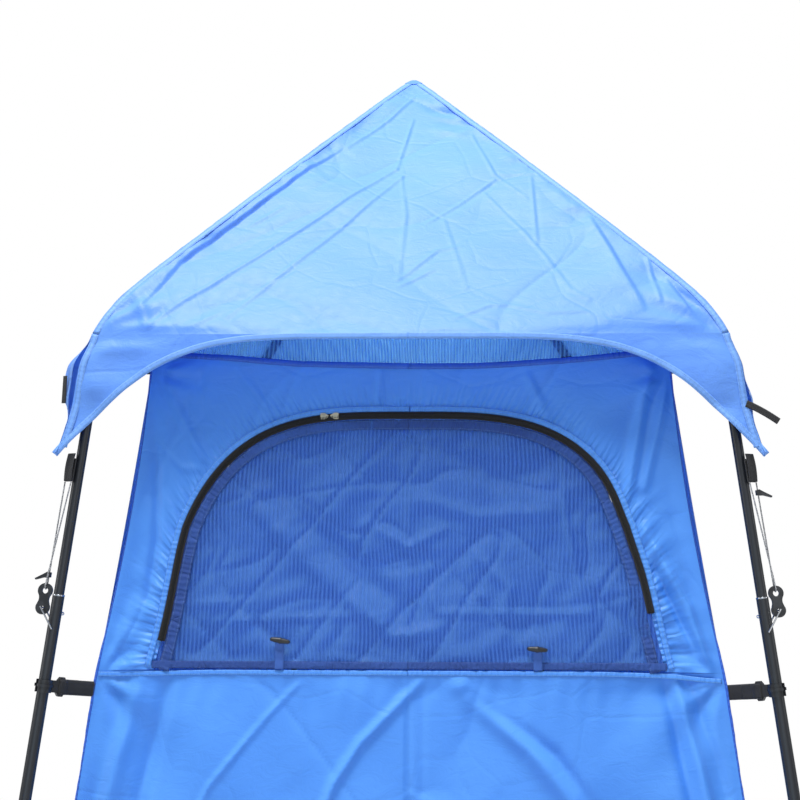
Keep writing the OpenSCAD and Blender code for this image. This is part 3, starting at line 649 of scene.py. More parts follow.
LEFT_FOLD = [(-0.135, 0.32), (-0.20, 0.41), (-0.28, 0.545), (-0.35, 0.66), (-0.41, 0.765), (-0.43, 0.83), (-0.47, 0.945)]
ROOF_LINES = [
    ([(0.0, 0.10), (-0.05, 0.20), (-0.13, 0.32)], 2.2), ([(-0.03, 0.405), (-0.11, 0.51), (-0.27, 0.735), (-0.35, 0.845), (-0.44, 0.966)], 3.0),
    ([(-0.02, 0.44), (-0.22, 0.79), (-0.31, 0.945)], 2.6), ([(0.0, 0.2), (-0.03, 0.405)], 2.2), ([(-0.2, 0.415), (-0.11, 0.51)], 1.6),
    ([(-0.02, 0.44), (-0.01, 0.59), (-0.02, 0.82)], 2.0), ([(-0.03, 0.41), (0.04, 0.48)], 1.6), ([(-0.02, 0.82), (0.05, 0.72), (0.09, 0.71)], 2.2),
    ([(-0.02, 0.845), (0.04, 0.79)], 2.0), ([(-0.30, 0.63), (-0.24, 0.56)], 1.8), ([(-0.37, 0.98), (-0.33, 0.935)], 1.8), ([(0.03, 0.62), (0.16, 0.465)], 2.6),
    ([(0.06, 0.6), (0.08, 0.72), (0.10, 0.85)], 2.0), ([(0.14, 0.515), (0.21, 0.665), (0.24, 0.74), (0.28, 0.865), (0.31, 0.9)], 3.0),
    ([(0.12, 0.275), (0.16, 0.445), (0.22, 0.54)], 2.2), ([(0.16, 0.445), (0.24, 0.445), (0.26, 0.48)], 2.2), ([(0.23, 0.46), (0.23, 0.7)], 2.0),
    ([(0.42, 0.765), (0.43, 0.9)], 3.0), ([(0.08, 0.95), (0.14, 0.91), (0.17, 0.91), (0.23, 0.937), (0.3, 0.935), (0.34, 0.965)], 2.0), ([(0.10, 0.85), (0.17, 0.91)], 1.8)]


def on_lift(pts):
    """moves a line's points down by the height that the ridge's bow adds to them"""
    made = []
    for x, t in pts:
        u = min(1.0, abs(x) / (t * FLY_HALF))
        made.append((x, t + float(ridge_lift(t)) * u ** 2.4 / 0.635))
    return made


def roof_relief(s, X, t, u):
    """height of the cloth's folds and creases, metres"""
    S = t * 0.83
    seed = 11 + 7 * s
    edge = sstep(0, 0.05, (1 - np.abs(u)) * t) * sstep(0, 0.05, t)
    h = 0.0040 * soft(X, S, seed, 35, 0.30, 0.11) + 0.0026 * soft(X, S, seed + 1, -38, 0.22, 0.07)
    h = h + 0.0020 * creased(X, S, seed + 2, 38, 0.30, 0.13, 0.10) + 0.0018 * creased(X, S, seed + 3, -42, 0.26, 0.15, 0.10)
    h = h + 0.0009 * soft(X, S, seed + 4, 25, 0.09, 0.03) * (0.4 + 0.6 * soft(X, S, seed + 5, 0, 0.3, 0.3) ** 2)
    # small puckers along the ridge seams
    near = np.exp(-((1 - np.abs(u)) * t * FLY_HALF / 0.05) ** 2)
    h = h * edge + edge * near * 0.0026 * soft(X, S, seed + 6, 0, 0.05, 0.022)
    # pull lines that fan out of each eave corner
    for sign in (-1, 1):
        dx, dy = FLY_HALF - X * sign, (1.0 - t) * 0.83
        rr, ang = np.hypot(dx, dy), np.arctan2(dy, dx)
        h = h + 0.0050 * np.sin(ang * 15 + 2.0 * soft(X, S, seed + 8, 0, 0.2, 0.2)) * sstep(0.02, 0.09, rr) * np.exp(-rr / 0.11) * sstep(0, 0.03, (1 - np.abs(u)) * t) * sstep(0.0, 0.10, ang)
    if s == 0:
        T = t * 0.75
        for pts, a in ROOF_LINES:
            line = [(p, q * 0.75) for p, q in on_lift(pts)]
            h = h + crease(X, T, line, 0.00060 * a, 0.0036) - crease(X, T, [(p + 0.006, q + 0.005) for p, q in line], 0.00030 * a, 0.005)
        fold = [(p, q * 0.75) for p, q in on_lift(LEFT_FOLD)]
        h = h + tuck(X, T, fold[::-1], -0.0072, 0.0036, 0.055)
        for pts, a in (([(0.33, 0.61), (0.36, 0.726), (0.375, 0.80), (0.405, 0.93)], 0.008), ([(0.445, 0.82), (0.48, 0.93), (0.507, 0.985)], 0.007)):
            h = h + tuck(X, T, [(p, q * 0.75) for p, q in on_lift(pts)], a, 0.005, 0.05)
        for cx, ct, a, deg in ((0.062, 0.17, -0.006, 30), (0.088, 0.225, -0.0045, 20), (0.075, 0.26, 0.003, 25), (-0.455, 0.96, 0.006, 60)):
            x1, y1 = turned(X - cx, T - ct * 0.75, deg, 0.034, 0.010)
            h = h + a * np.exp(-(x1 * x1 + y1 * y1))
    else:
        rng = np.random.RandomState(40 + s)
        for _ in range(16):
            x0, t0 = rng.uniform(-0.3, 0.3), rng.uniform(0.45, 0.9)
            a = rng.uniform(0, math.pi)
            ln = rng.uniform(0.05, 0.2)
            mid = (x0 + ln * 0.5 * math.cos(a) + rng.uniform(-0.01, 0.01), t0 * 0.75 + ln * 0.5 * math.sin(a))
            pts = [(x0, t0 * 0.75), mid, (x0 + ln * math.cos(a), t0 * 0.75 + ln * math.sin(a))]
            h = h + crease(X, t * 0.75, pts, 0.0022, 0.006) * edge
    return h


NU, NT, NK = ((124, 180, 36))
for s in range(4):
    nu, nt = (NU, NT) if s == 0 else (NU // 2, NT // 2)
    out = spin(np.array([0, -0.76, 0.64]), s)
    u = np.sin(np.linspace(-1, 1, 2 * nu + 1) * math.pi / 2 * 0.82) / math.sin(math.pi / 2 * 0.82)
    t = 0.016 + (1 - 0.016) * np.linspace(0, 1, nt) ** 0.9
    U, T = np.meshgrid(u, t)
    base = roof_base(U, T)
    n0 = grid_normals(base, np.array([0, -0.76, 0.64]))
    rel = roof_relief(s, U * T * FLY_HALF, T, U) * sstep(1.0, 0.985, T) * sstep(1.0, 0.97, np.abs(U))
    P = spin(base + n0 * rel[..., None], s)
    Nn = grid_normals(P, out)
    uv = np.stack([U * T * FLY_HALF, T * 0.83], -1)
    # skirt below the eave fold
    f = np.linspace(0, 1, NK)
    U2, F2 = np.meshgrid(u, f)
    sb = skirt_base(s, U2, F2)
    k2 = drop(U2) * F2
    wr = 0.0035 * np.sin(k2 / 0.030 + 3 * soft(U2, k2, 60 + s, 0, 0.3, 0.05)) * sstep(0.0, 0.03, k2) * sstep(1.0, 0.93, np.abs(U2)) * sstep(0.70, 0.86, np.abs(U2))
    wr = wr + 0.0012 * soft(U2, k2, 70 + s, 0, 0.05, 0.03) * sstep(0, 0.02, k2)
    sb[..., 1] -= wr
    SP = spin(sb, s)
    SN = grid_normals(SP, spin(np.array([0, -1.0, 0.05]), s))
    suv = np.stack([U2 * FLY_HALF, 0.83 + k2], -1)
    mid = nu
    for side, corner in zip((-1, 1), ENDS[s]):
        cut = slice(0, mid + 1) if side < 0 else slice(mid, None)
        tag = f"{SIDE[s]}_{'a' if side < 0 else 'b'}"
        roof = sheet_mesh("fly_roof_" + tag, P[:, cut], Nn[:, cut], 0.0007, fly_m, uv[:, cut], ref=unit(out))
        roof_part(roof, s, side, corner, "fly")
        skirt = sheet_mesh("fly_skirt_" + tag, SP[:, cut], SN[:, cut], 0.0007, fly_m, suv[:, cut])
        leg_part(skirt, s, side, corner, "fly", walls=False)
        # hem: a folded band along the arched edge
        edge = resample(np.concatenate([SP[-1, cut], SN[-1, cut]], 1), 0.007)
        ep, en = edge[:, :3], unit(edge[:, 3:])
        tan = unit(np.gradient(ep, axis=0))
        up = unit(np.cross(tan, en))
        up = up * np.sign(up[:, 2:3])
        wavy = 0.0006 * soft(arc(ep), np.zeros(len(ep)), 80 + s, 0, 0.03, 1.0)
        hem = ribbon("fly_hem_" + tag, ep + up * 0.0050 + en * (0.0006 + wavy)[:, None], en, 0.0112, 0.0022, hem_m, puff=0.25)
        leg_part(hem, s, side, corner, "fly", walls=False)

# stitched seam allowances on both sides of each ridge, on down the skirt's corners
def off_ridge(fn, grow, t, sign, gap):
    """points and normals of a panel at the distance gap from its side edge"""
    uu = sign * (1 - gap / np.maximum(grow, 1e-3))
    e = 1e-3
    a = fn(uu, t)
    n = unit(np.cross(fn(uu + e, t) - fn(uu - e, t), fn(uu, t + e) - fn(uu, t - e)))
    n = n * -np.sign(n[:, 1:2])
    return a, n, uu


for s in range(4):
    for side, corner in zip((-1, 1), ENDS[s]):
        t = np.linspace(0.02, 0.999, 240)
        p, nn, uu = off_ridge(roof_base, t * FLY_HALF, t, side, 0.0060)
        rel = roof_relief(s, uu * t * FLY_HALF, t, uu) * sstep(1.0, 0.985, t) * sstep(1.0, 0.97, np.abs(uu))
        wob = 0.0005 * vn(t * 70, t * 0, 91 + s)
        seam = ribbon(f"fly_ridge_seam_{SIDE[s]}_{'a' if side < 0 else 'b'}", spin(p + nn * (0.0007 + rel + wob)[:, None], s), spin(nn, s), 0.0112, 0.0010, ridge_m, puff=0.3)
        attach(seam, "arm_" + corner)
        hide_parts("fly")
        f = np.linspace(0.002, 0.985, 60)
        p, nn, uu = off_ridge(lambda u_, f_: skirt_base(s, u_, f_), np.full(60, FLY_HALF), f, side, 0.0060)
        wob = 0.0005 * vn(f * 20, f * 0, 95 + s)
        seam = ribbon(f"fly_corner_seam_{SIDE[s]}_{'a' if side < 0 else 'b'}", spin(p + nn * (0.0007 + wob)[:, None], s), spin(nn, s), 0.0112, 0.0010, ridge_m, puff=0.3)
        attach(seam, "leg_" + corner)
        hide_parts("fly")

# the small sewn cap over the peak
a = np.linspace(0, 2 * math.pi, 33)[:-1]
rings = []
for q in np.linspace(0.0, 1.0, 9):
    tt = 0.034 * q
    sq = 1 / np.maximum(np.abs(np.cos(a)), np.abs(np.sin(a)))
    mix = 0.4 + 0.6 * q
    rad = tt * FLY_HALF * (1 + (sq - 1) * mix)
    zz = FLY_PEAK + 0.0014 - (FLY_PEAK - FLY_EAVE) * round_off(tt * np.ones(32)) + ridge_lift(tt) * np.abs(np.abs(np.cos(2 * a)) - 1)
    rings.append(np.stack([rad * np.cos(a), rad * np.sin(a), zz], 1))
rings = np.array(rings)
verts = [list(rings[0].mean(0))] + rings[1:].reshape(-1, 3).tolist()
faces = [[0, 1 + k, 1 + (k + 1) % 32] for k in range(32)]
for j in range(7):
    faces += [[1 + j * 32 + k, 1 + (j + 1) * 32 + k, 1 + (j + 1) * 32 + (k + 1) % 32, 1 + j * 32 + (k + 1) % 32] for k in range(32)]
cap = make("fly_peak_cap", verts, faces, fly_m, uv=np.array(verts)[:, :2])
solidify = cap.modifiers.new("thickness", "SOLIDIFY")
solidify.thickness = 0.0012
solidify.offset = 0
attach(cap, "hub")
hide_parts("fly")

# ---------------------------------------------------------------- corner tabs and spare tabs of webbing
for corner, (phi, turn) in CORNERS.items():
    outv = leg_dir(corner, (1, 0, 0))
    z = -np.concatenate([np.linspace(0.196, TAB_BOT - 0.002, 14)])
    xs = TAB_D + 0.0012 + 0.0016 * np.sin(np.linspace(0, math.pi, 14))
    front = leg_pt(corner, xs, 0, z)
    # down, round a short loop at the bottom and up again behind
    a = np.linspace(0, math.pi, 9)[1:]
    loop = leg_pt(corner, TAB_D - 0.0004 + 0.0016 * np.cos(a), 0, -TAB_BOT + 0.002 - 0.0016 * np.sin(a))
    back = leg_pt(corner, np.full(8, TAB_D - 0.0020), 0, -np.linspace(TAB_BOT - 0.006, 0.204, 8))
    C = resample(np.concatenate([front, loop, back]), 0.0016)
    T = unit(np.gradient(C, axis=0))
    side = leg_dir(corner, (0, 1, 0))
    tab = ribbon("corner_tab_" + corner, C, unit(np.cross(T, np.tile(side, (len(C), 1)))), 0.025, 0.0014, web_m)
    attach(tab, "leg_" + corner)
    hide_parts("fly_tabs")
    # the spare tab: a short doubled strip that sticks out from the skirt
    q = np.linspace(0, 1, 12)
    if corner == "front_right":
        C = np.stack([0.557 + 0.051 * q, -0.562 - 0.004 * q, 1.537 - 0.023 * q - 0.007 * q * q], 1)
    elif corner == "front_left":
        C = np.stack([-0.5775 - 0.002 * q, -0.550 + 0 * q, 1.585 - 0.046 * q], 1)
    else:
        C = leg_pt(corner, 0.028 + 0.030 * q, 0.004 * q, -0.128 - 0.026 * q)
    T = unit(np.gradient(C, axis=0))
    C = resample(C, 0.002)
    facing = np.array([0.25, -1.0, 0.2]) if corner == "front_right" else np.cross(T[5], side)
    spare = ribbon("spare_tab_" + corner, C, np.tile(unit(facing), (len(C), 1)), 0.012, 0.0026, tab_m)
    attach(spare, "leg_" + corner)
    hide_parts("fly_tabs")

# ---------------------------------------------------------------- inner roof of mesh
SAG = {0: 0.025, 1: 0.018, 2: 0.022, 3: 0.018}


def top_z(s, x):
    return WALL_TOP - SAG[s] * (1 - np.minimum(1, (x / BODY_TOP) ** 2)) ** 1.1


def net_base(s, u, t):
    h = 0.014 + (BODY_TOP - 0.003 - 0.014) * t
    z0 = HUB_Z - 0.034
    zt = top_z(s, u * (BODY_TOP - 0.003)) + 0.004
    z = z0 + (zt - z0) * t - 0.040 * t * (1 - t) * (1 - 0.5 * u * u)
    return np.stack(np.broadcast_arrays(u * h, -h, z), -1)


for s in range(4):
    n, m = 34, 44
    u = np.linspace(-1, 1, 2 * n + 1)
    U, T = np.meshgrid(u, np.linspace(0.02, 1, m))
    base = net_base(s, U, T)
    n0 = grid_normals(base, np.array([0, -0.76, 0.64]))
    rel = (0.004 * soft(U * T, T, 120 + s, 30, 0.3, 0.1) + 0.002 * creased(U * T, T, 130 + s, 80, 0.2, 0.1, 0.15)) * sstep(1, 0.9, np.abs(U)) * sstep(1, 0.95, T)
    P = spin(base + n0 * rel[..., None], s)
    Nn = grid_normals(P, spin(np.array([0, -0.76, 0.64]), s))
    uv = np.stack([U * T * BODY_TOP, T * 0.70], -1)
    for side, corner in zip((-1, 1), ENDS[s]):
        cut = slice(0, n + 1) if side < 0 else slice(n, None)
        tag = f"{SIDE[s]}_{'a' if side < 0 else 'b'}"
        net = sheet_mesh("roof_net_" + tag, P[:, cut], Nn[:, cut], 0.0005, tent_net if s else front_net, uv[:, cut])
        roof_part(net, s, side, corner, "roof_mesh")
for corner, (sx, sy) in SIGNS.items():
    s0 = [q for q in ENDS if ENDS[q][1] == corner][0]
    t = np.linspace(0.02, 0.995, 60)
    line = spin(net_base(s0, np.ones(60), t), s0)
    nrm = unit(np.array([sx * 0.45, sy * 0.45, 0.77]))
    # the bound seam allowance hangs inside, turned to the front
    face = unit(np.array([0.336 * sx, -0.846, -0.415 * sy]))
    tape = ribbon("roof_seam_tape_" + corner, line - nrm * 0.0165, np.tile(face, (60, 1)), 0.0210, 0.0016, tape_m)
    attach(tape, "arm_" + corner)
    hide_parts("roof_mesh")

# ---------------------------------------------------------------- walls
WA = math.atan((BODY_FOOT - BODY_TOP) / (WALL_TOP - WALL_HEM))
W_OUT = np.array([0, -math.cos(WA), math.sin(WA)])


def half(z):
    return BODY_FOOT - (BODY_FOOT - BODY_TOP) * (z - WALL_HEM) / (WALL_TOP - WALL_HEM)


def edge_in(z):
    """the body's sides curve in a little between the straps"""
    return 0.010 * np.sin(np.clip((z - 1.09) / 0.53, 0, 1) * math.pi) + 0.007 * np.sin(np.clip((z - 0.06) / 1.02, 0, 1) * math.pi)


def wall_point(x, z, h=0.0):
    p = np.stack(np.broadcast_arrays(np.asarray(x, float), -half(np.asarray(z, float)), np.asarray(z, float)), -1)
    return p + W_OUT * np.asarray(h, float)[..., None]


def win_x(t):
    return WIN_HALF * (1 - 0.1 * t) * np.maximum(0, 1 - t ** 3) ** (1 / 3.5)


def win_t(z):
    return np.clip((z - WIN_Z0) / (WIN_Z1 - WIN_Z0), 0, 1)


def win_xs(t, side):
    t = np.asarray(t, float)
    pull = 0.009 * np.sin(np.pi * np.clip(t / 0.55, 0, 1)) + np.where(np.asarray(side) > 0, 0.012, 0.0) * np.exp(-(((t - 0.56) / 0.17) ** 2))
    return np.maximum(win_x(t) - pull, 0)


def arch_pts(n, d=0.0):
    """the window's outline from its lower left corner over the top, with the distance d added outwards"""
    q = np.linspace(0, 1, 400)
    t = 1 - (1 - q) ** 2.2
    left_pts = np.stack([-win_xs(t, -1), WIN_Z0 + (WIN_Z1 - WIN_Z0) * t], 1)
    right_pts = np.stack([win_xs(t, 1), WIN_Z0 + (WIN_Z1 - WIN_Z0) * t], 1)
    pts = np.concatenate([left_pts, right_pts[::-1][1:]])
    pts = resample(pts, arc(pts)[-1] / (n - 1))
    if d:
        tan = unit(np.gradient(pts, axis=0))
        pts = pts + d * np.stack([-tan[:, 1], tan[:, 0]], 1)
    return pts


FRONT_LINES = [
    ([(-0.443, 1.48), (-0.396, 1.432), (-0.354, 1.431)], 0.0022, 0.006), ([(-0.428, 1.575), (-0.36, 1.449)], 0.006, 0.012), ([(-0.445, 1.46), (-0.436, 1.31), (-0.446, 1.21)], -0.004, 0.010),
    ([(-0.185, 1.07), (-0.234, 1.02), (-0.325, 0.91), (-0.37, 0.82)], 0.0026, 0.006), ([(0.019, 1.075), (-0.079, 0.978), (-0.123, 0.912), (-0.18, 0.76)], 0.0060, 0.009),
    ([(-0.446, 1.078), (-0.492, 0.888), (-0.52, 0.70)], 0.008, 0.018), ([(-0.40, 1.078), (-0.44, 0.9), (-0.45, 0.75)], -0.006, 0.016),
    ([(0.085, 1.074), (0.202, 0.97), (0.264, 0.893), (0.33, 0.76)], 0.010, 0.020), ([(0.10, 1.06), (0.24, 0.96), (0.30, 0.88)], -0.006, 0.014),
    ([(0.441, 1.085), (0.486, 0.895), (0.50, 0.74)], 0.009, 0.011), ([(0.425, 1.08), (0.462, 0.89), (0.47, 0.75)], -0.007, 0.012), ([(0.47, 1.07), (0.52, 0.90)], -0.005, 0.010),
    ([(0.417, 1.60), (0.373, 1.38)], 0.006, 0.012), ([(0.457, 1.60), (0.405, 1.40)], 0.005, 0.010), ([(0.40, 1.33), (0.47, 1.20), (0.50, 1.10)], 0.008, 0.012), ([(0.42, 1.26), (0.48, 1.13)], -0.006, 0.008),
    ([(-0.30, 1.60), (-0.24, 1.53)], 0.003, 0.009), ([(0.20, 1.61), (0.24, 1.52)], 0.003, 0.009), ([(-0.05, 1.61), (-0.055, 1.535)], 0.002, 0.006), ([(0.0, 0.9), (0.10, 0.86), (0.16, 0.87)], 0.002, 0.006)]


def wall_relief(s, x, z):
    seed = 200 + 17 * s
    low = sstep(1.10, 1.04, z)
    h = 0.0060 * soft(x, z, seed, 55, 0.40, 0.10) + 0.0042 * soft(x, z, seed + 1, -58, 0.34, 0.08)
    h = h + 0.0022 * creased(x, z, seed + 2, 60, 0.34, 0.13, 0.10) + 0.0020 * creased(x, z, seed + 3, -50, 0.3, 0.14, 0.10)
    h = h + 0.0010 * soft(x, z, seed + 4, 40, 0.09, 0.03) * (0.3 + soft(x, z, seed + 5, 0, 0.25, 0.25) ** 2)
    # long soft folds that hang from the seam under the window
    h = h + low * 0.0075 * soft(x * 1.0 + 0.10 * z * np.sign(x), z, seed + 6, 0, 0.085, 0.75) * (0.35 + 0.65 * sstep(0.1, 0.45, np.abs(x)))
    h = h + low * 0.0016 * np.sin(x / 0.0062 + 3 * vn(x * 12, z * 6, seed + 7)) * np.exp(-np.maximum(1.088 - z, 0) / 0.030)
    # pulls from the straps at each side
    for sign in (-1, 1):
        for zc in (1.085, 1.60, 0.10):
            dx, dz = half(zc) - x * sign, z - zc
            rr, ang = np.hypot(dx, dz), np.arctan2(dz, np.maximum(dx, 1e-6))
            h = h + 0.0055 * np.sin(ang * 8 + 1.5 * vn(x * 6, z * 6, seed + 9)) * sstep(0.01, 0.05, rr) * np.exp(-rr / 0.11)
    if s == 0:
        for pts, a, w in FRONT_LINES:
            h = h + crease(x, z, pts, a * 1.35, w * 0.85)
        h = h - 0.0016 * np.exp(-((x - 0.024) / 0.004) ** 2) * sstep(1.10, 1.08, z)
    if s == 2:
        # the cloth beside the door's zipper is drawn in slightly
        d = np.abs(np.abs(x) - 0.310)
        h = h + 0.0014 * np.sin(z / 0.006 + 4 * vn(x * 20, z * 20, seed + 12)) * np.exp(-(d / 0.03) ** 2) * sstep(1.5, 1.4, z)
    fade = sstep(0.0, 0.035, half(z) - np.abs(x)) * sstep(WALL_HEM, WALL_HEM + 0.02, z)
    return np.clip(h, -0.014, 0.022) * fade


def wall_piece(name, X, Z, s, side, corner, node, mat, seam=None, thick=0.0008, extra=0.0, pin=None, keep=0.1):
    """one cloth grid in wall s given by its x and z, taken from the whole panel so that halves meet"""
    h = wall_relief(s, X, Z) + extra
    if pin is not None:
        h = h * pin
    squeeze = 1 - edge_in(Z) / half(Z) * np.minimum(1, np.abs(X) / half(Z)) ** 6
    base = wall_point(X * squeeze, Z, h)
    flat = wall_point(X, Z, np.zeros_like(X))
    return base, flat


def add_wall(name, s, side, corner, P, Nn, uv, node, mat, seam=None, thick=0.0008, rests=None):
    ob = sheet_mesh(name, P, Nn, thick, mat, uv, seam, ref=spin(W_OUT, s))
    leg_part(ob, s, side, corner, node)
    return ob


def held_down(d):
    """the cloth lies flatter close to a seam"""
    return 0.30 + 0.70 * sstep(0.0, 0.035, d)


def whole_wall(s, node):
    """side and back walls: one grid from the hem to the top edge"""
    n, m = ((44, 118))
    u = np.linspace(-1, 1, 2 * n + 1)
    v = np.linspace(0, 1, m)
    U, V = np.meshgrid(u, v)
    ztop = top_z(s, U * BODY_TOP)
    Z = WALL_HEM + (ztop - WALL_HEM) * V
    X = U * half(Z)
    P, flat = wall_piece(node, X, Z, s, 0, None, node, wall_m)
    P, flat = spin(P, s), spin(flat, s)
    Nn = grid_normals(P, spin(W_OUT, s))
    uv = np.stack([X, Z], -1)
    for side, corner in zip((-1, 1), ENDS[s]):
        cut = slice(0, n + 1) if side < 0 else slice(n, None)
        add_wall(f"{node}_{'a' if side < 0 else 'b'}", s, side, corner, P[:, cut], Nn[:, cut], uv[:, cut], node, wall_m)


whole_wall(1, "right_wall")
whole_wall(2, "back_wall")
whole_wall(3, "left_wall")

# front wall, below the window's seam
n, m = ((100, 150))
u = np.linspace(-1, 1, 2 * n + 1)
U, V = np.meshgrid(u, np.linspace(0, 1, m) ** 0.6)
Z = WALL_HEM + (WIN_Z0 - 0.004 - WALL_HEM) * V
X = U * half(Z)
P, flat = wall_piece("front", X, Z, 0, 0, None, None, wall_m, pin=held_down(np.hypot(np.maximum(np.abs(X) - WIN_HALF, 0), WIN_Z0 - 0.004 - Z)))
Nn = grid_normals(P, W_OUT)
uv = np.stack([X, Z], -1)
for side, corner in zip((-1, 1), ENDS[0]):
    cut = slice(0, n + 1) if side < 0 else slice(n, None)
    add_wall(f"front_wall_lower_{'a' if side < 0 else 'b'}", 0, side, corner, P[:, cut], Nn[:, cut], uv[:, cut], "front_wall", wall_m)

# front wall, round the window: lines run from the arch out to the edges
na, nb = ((421, 36))
inner = arch_pts(na, 0.002)
zc = WALL_TOP
side_len = math.hypot(half(WIN_Z0) - BODY_TOP, WALL_TOP - WIN_Z0)
outer = []
half_n = (na - 1) // 2
for k in range(na):
    q = k / half_n if k <= half_n else (na - 1 - k) / half_n
    sgn = -1 if k <= half_n else 1
    if q < 0.52:
        z = WIN_Z0 - 0.004 + (WALL_TOP - WIN_Z0 + 0.004) * (q / 0.52)
        outer.append((sgn * half(z), z))
    else:
        x = BODY_TOP * (1 - (q - 0.52) / 0.48)
        outer.append((sgn * x, float(top_z(0, np.array(x)))))
outer = np.array(outer)
inner[:, 1] = np.where((np.abs(inner[:, 0]) > 0.38) & (inner[:, 1] < WIN_Z0 + 0.02), np.minimum(inner[:, 1], WIN_Z0 + 0.02), inner[:, 1])
J = np.linspace(0, 1, nb)[:, None]
X = inner[None, :, 0] * (1 - J) + outer[None, :, 0] * J
Z = inner[None, :, 1] * (1 - J) + outer[None, :, 1] * J
Z[:, 0] = np.linspace(WIN_Z0 - 0.002, WIN_Z0 - 0.004, nb)
Z[:, -1] = Z[:, 0]
dist = np.hypot(X - inner[None, :, 0], Z - inner[None, :, 1])
along = np.broadcast_to(arc(inner)[None, :], X.shape)
pk = 0.0017 * np.sin(along / 0.0021 + 4 * vn(X * 30, Z * 30, 301)) * np.exp(-dist / 0.014) * sstep(0.0, 0.004, dist) * (0.25 + 0.75 * sstep(1.50, 1.42, Z))
pk = pk + 0.0040 * np.sin(along / 0.0058 + 3 * vn(X * 14, Z * 14, 302)) * np.exp(-dist / 0.034) * sstep(0.0, 0.02, dist) * sstep(1.46, 1.36, Z)
P, flat = wall_piece("front", X, Z, 0, 0, None, None, wall_m, extra=pk, pin=held_down(dist))
Nn = grid_normals(P, W_OUT)
uv = np.stack([X, Z], -1)
seam_uv = np.stack([along, dist], -1)
for side, corner in zip((-1, 1), ENDS[0]):
    cut = slice(0, half_n + 1) if side < 0 else slice(half_n, None)
    add_wall(f"front_wall_upper_{'a' if side < 0 else 'b'}", 0, side, corner, P[:, cut], Nn[:, cut], uv[:, cut], "front_wall", frame_m, seam=seam_uv[:, cut])
surround = P

# ---------------------------------------------------------------- window: flap behind, mesh in front
FLAP_LINES = [([(-0.328, 1.175), (-0.051, 1.186)], 0.0030, 0.005), ([(-0.366, 1.203), (-0.264, 1.208)], 0.002, 0.005), ([(-0.266, 1.438), (-0.14, 1.31), (-0.016, 1.195)], -0.010, 0.020),
              ([(-0.30, 1.40), (-0.17, 1.27), (-0.05, 1.17)], 0.006, 0.018), ([(0.011, 1.29), (0.046, 1.19), (0.307, 1.19)], 0.0034, 0.006), ([(0.263, 1.453), (0.27, 1.341), (0.288, 1.246), (0.307, 1.191)], 0.0034, 0.006),
              ([(0.0, 1.49), (0.0, 1.12)], 0.0020, 0.005), ([(-0.07, 1.34), (0.0, 1.30), (0.06, 1.33)], 0.0040, 0.009), ([(0.05, 1.47), (0.16, 1.42), (0.22, 1.43)], -0.005, 0.016),
              ([(0.02, 1.38), (0.12, 1.35), (0.24, 1.36)], 0.004, 0.012), ([(-0.10, 1.21), (-0.03, 1.15), (0.04, 1.16)], 0.005, 0.010), ([(0.10, 1.30), (0.17, 1.23), (0.16, 1.16)], 0.004, 0.010)]


def window_grid(n, m, inset):
    c = np.sin(np.linspace(-1, 1, 2 * n + 1) * math.pi / 2 * 0.9) / math.sin(math.pi / 2 * 0.9)
    t = 1 - (1 - np.linspace(0, 0.985, m)) ** 1.5
    Cc, Tt = np.meshgrid(c, t)
    return (win_xs(Tt, np.sign(Cc)) - inset) * Cc, WIN_Z0 + (WIN_Z1 - WIN_Z0 - inset) * Tt


n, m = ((84, 96))
X, Z = window_grid(n, m, 0.006)
rim = np.minimum(1.0, np.minimum((win_x(win_t(Z)) - np.abs(X)) / 0.03, (Z - WIN_Z0) / 0.02))
rim = np.clip(rim, 0, 1)
fh = 0.0026 * soft(X, Z, 401, 40, 0.16, 0.06) + 0.0022 * soft(X, Z, 402, -35, 0.14, 0.05) + 0.0042 * creased(X, Z, 403, 48, 0.17, 0.07, 0.07)
fh = fh + 0.0036 * creased(X, Z, 404, -44, 0.15, 0.07, 0.07) + 0.0028 * creased(X, Z, 406, 8, 0.16, 0.06, 0.07) + 0.0012 * soft(X, Z, 405, 20, 0.035, 0.02)
for pts, a, w in FLAP_LINES:
    fh = fh + crease(X, Z, pts, a, w)
fh = -0.0165 + np.clip(fh * 1.6, -0.016, 0.0120) * rim
P = wall_point(X, Z, fh)
Nn = grid_normals(P, W_OUT)
uv = np.stack([X, Z], -1)
for side, corner in zip((-1, 1), ENDS[0]):
    cut = slice(0, n + 1) if side < 0 else slice(n, None)
    ob = sheet_mesh(f"window_flap_{'a' if side < 0 else 'b'}", P[:, cut], Nn[:, cut], 0.0007, flap_m, uv[:, cut], ref=W_OUT)
    leg_part(ob, 0, side, corner, "window_flap")
X, Z = window_grid(n, m, -0.001)
rim = np.clip(np.minimum((win_x(win_t(Z)) - np.abs(X)) / 0.03, (Z - WIN_Z0) / 0.02), 0, 1)
mh = (0.0022 * soft(X, Z, 411, 35, 0.2, 0.07) + 0.0008 * soft(X, Z, 412, -30, 0.05, 0.02)) * rim
P = wall_point(X, Z, mh + 0.0006)
Nn = grid_normals(P, W_OUT)
for side, corner in zip((-1, 1), ENDS[0]):
    cut = slice(0, n + 1) if side < 0 else slice(n, None)
    ob = sheet_mesh(f"window_net_{'a' if side < 0 else 'b'}", P[:, cut], Nn[:, cut], 0.0005, win_net, np.stack([X, Z], -1)[:, cut])
    leg_part(ob, 0, side, corner, "window_mesh")

# bands round the window: mesh border inside, zipper, stitched edge outside
full = arch_pts(401)


def halves(pts2):
    """a line cut where it crosses the middle, both parts ending on the same point"""
    k = int(np.argmax(pts2[:, 0] > 0))
    a, b = pts2[k - 1], pts2[k]
    mid = a + (b - a) * (-a[0] / (b[0] - a[0]))
    lft = pts2[:k] if abs(a[0]) < 1e-9 else np.concatenate([pts2[:k], [mid]])
    return lft, np.concatenate([[mid], pts2[k:]])


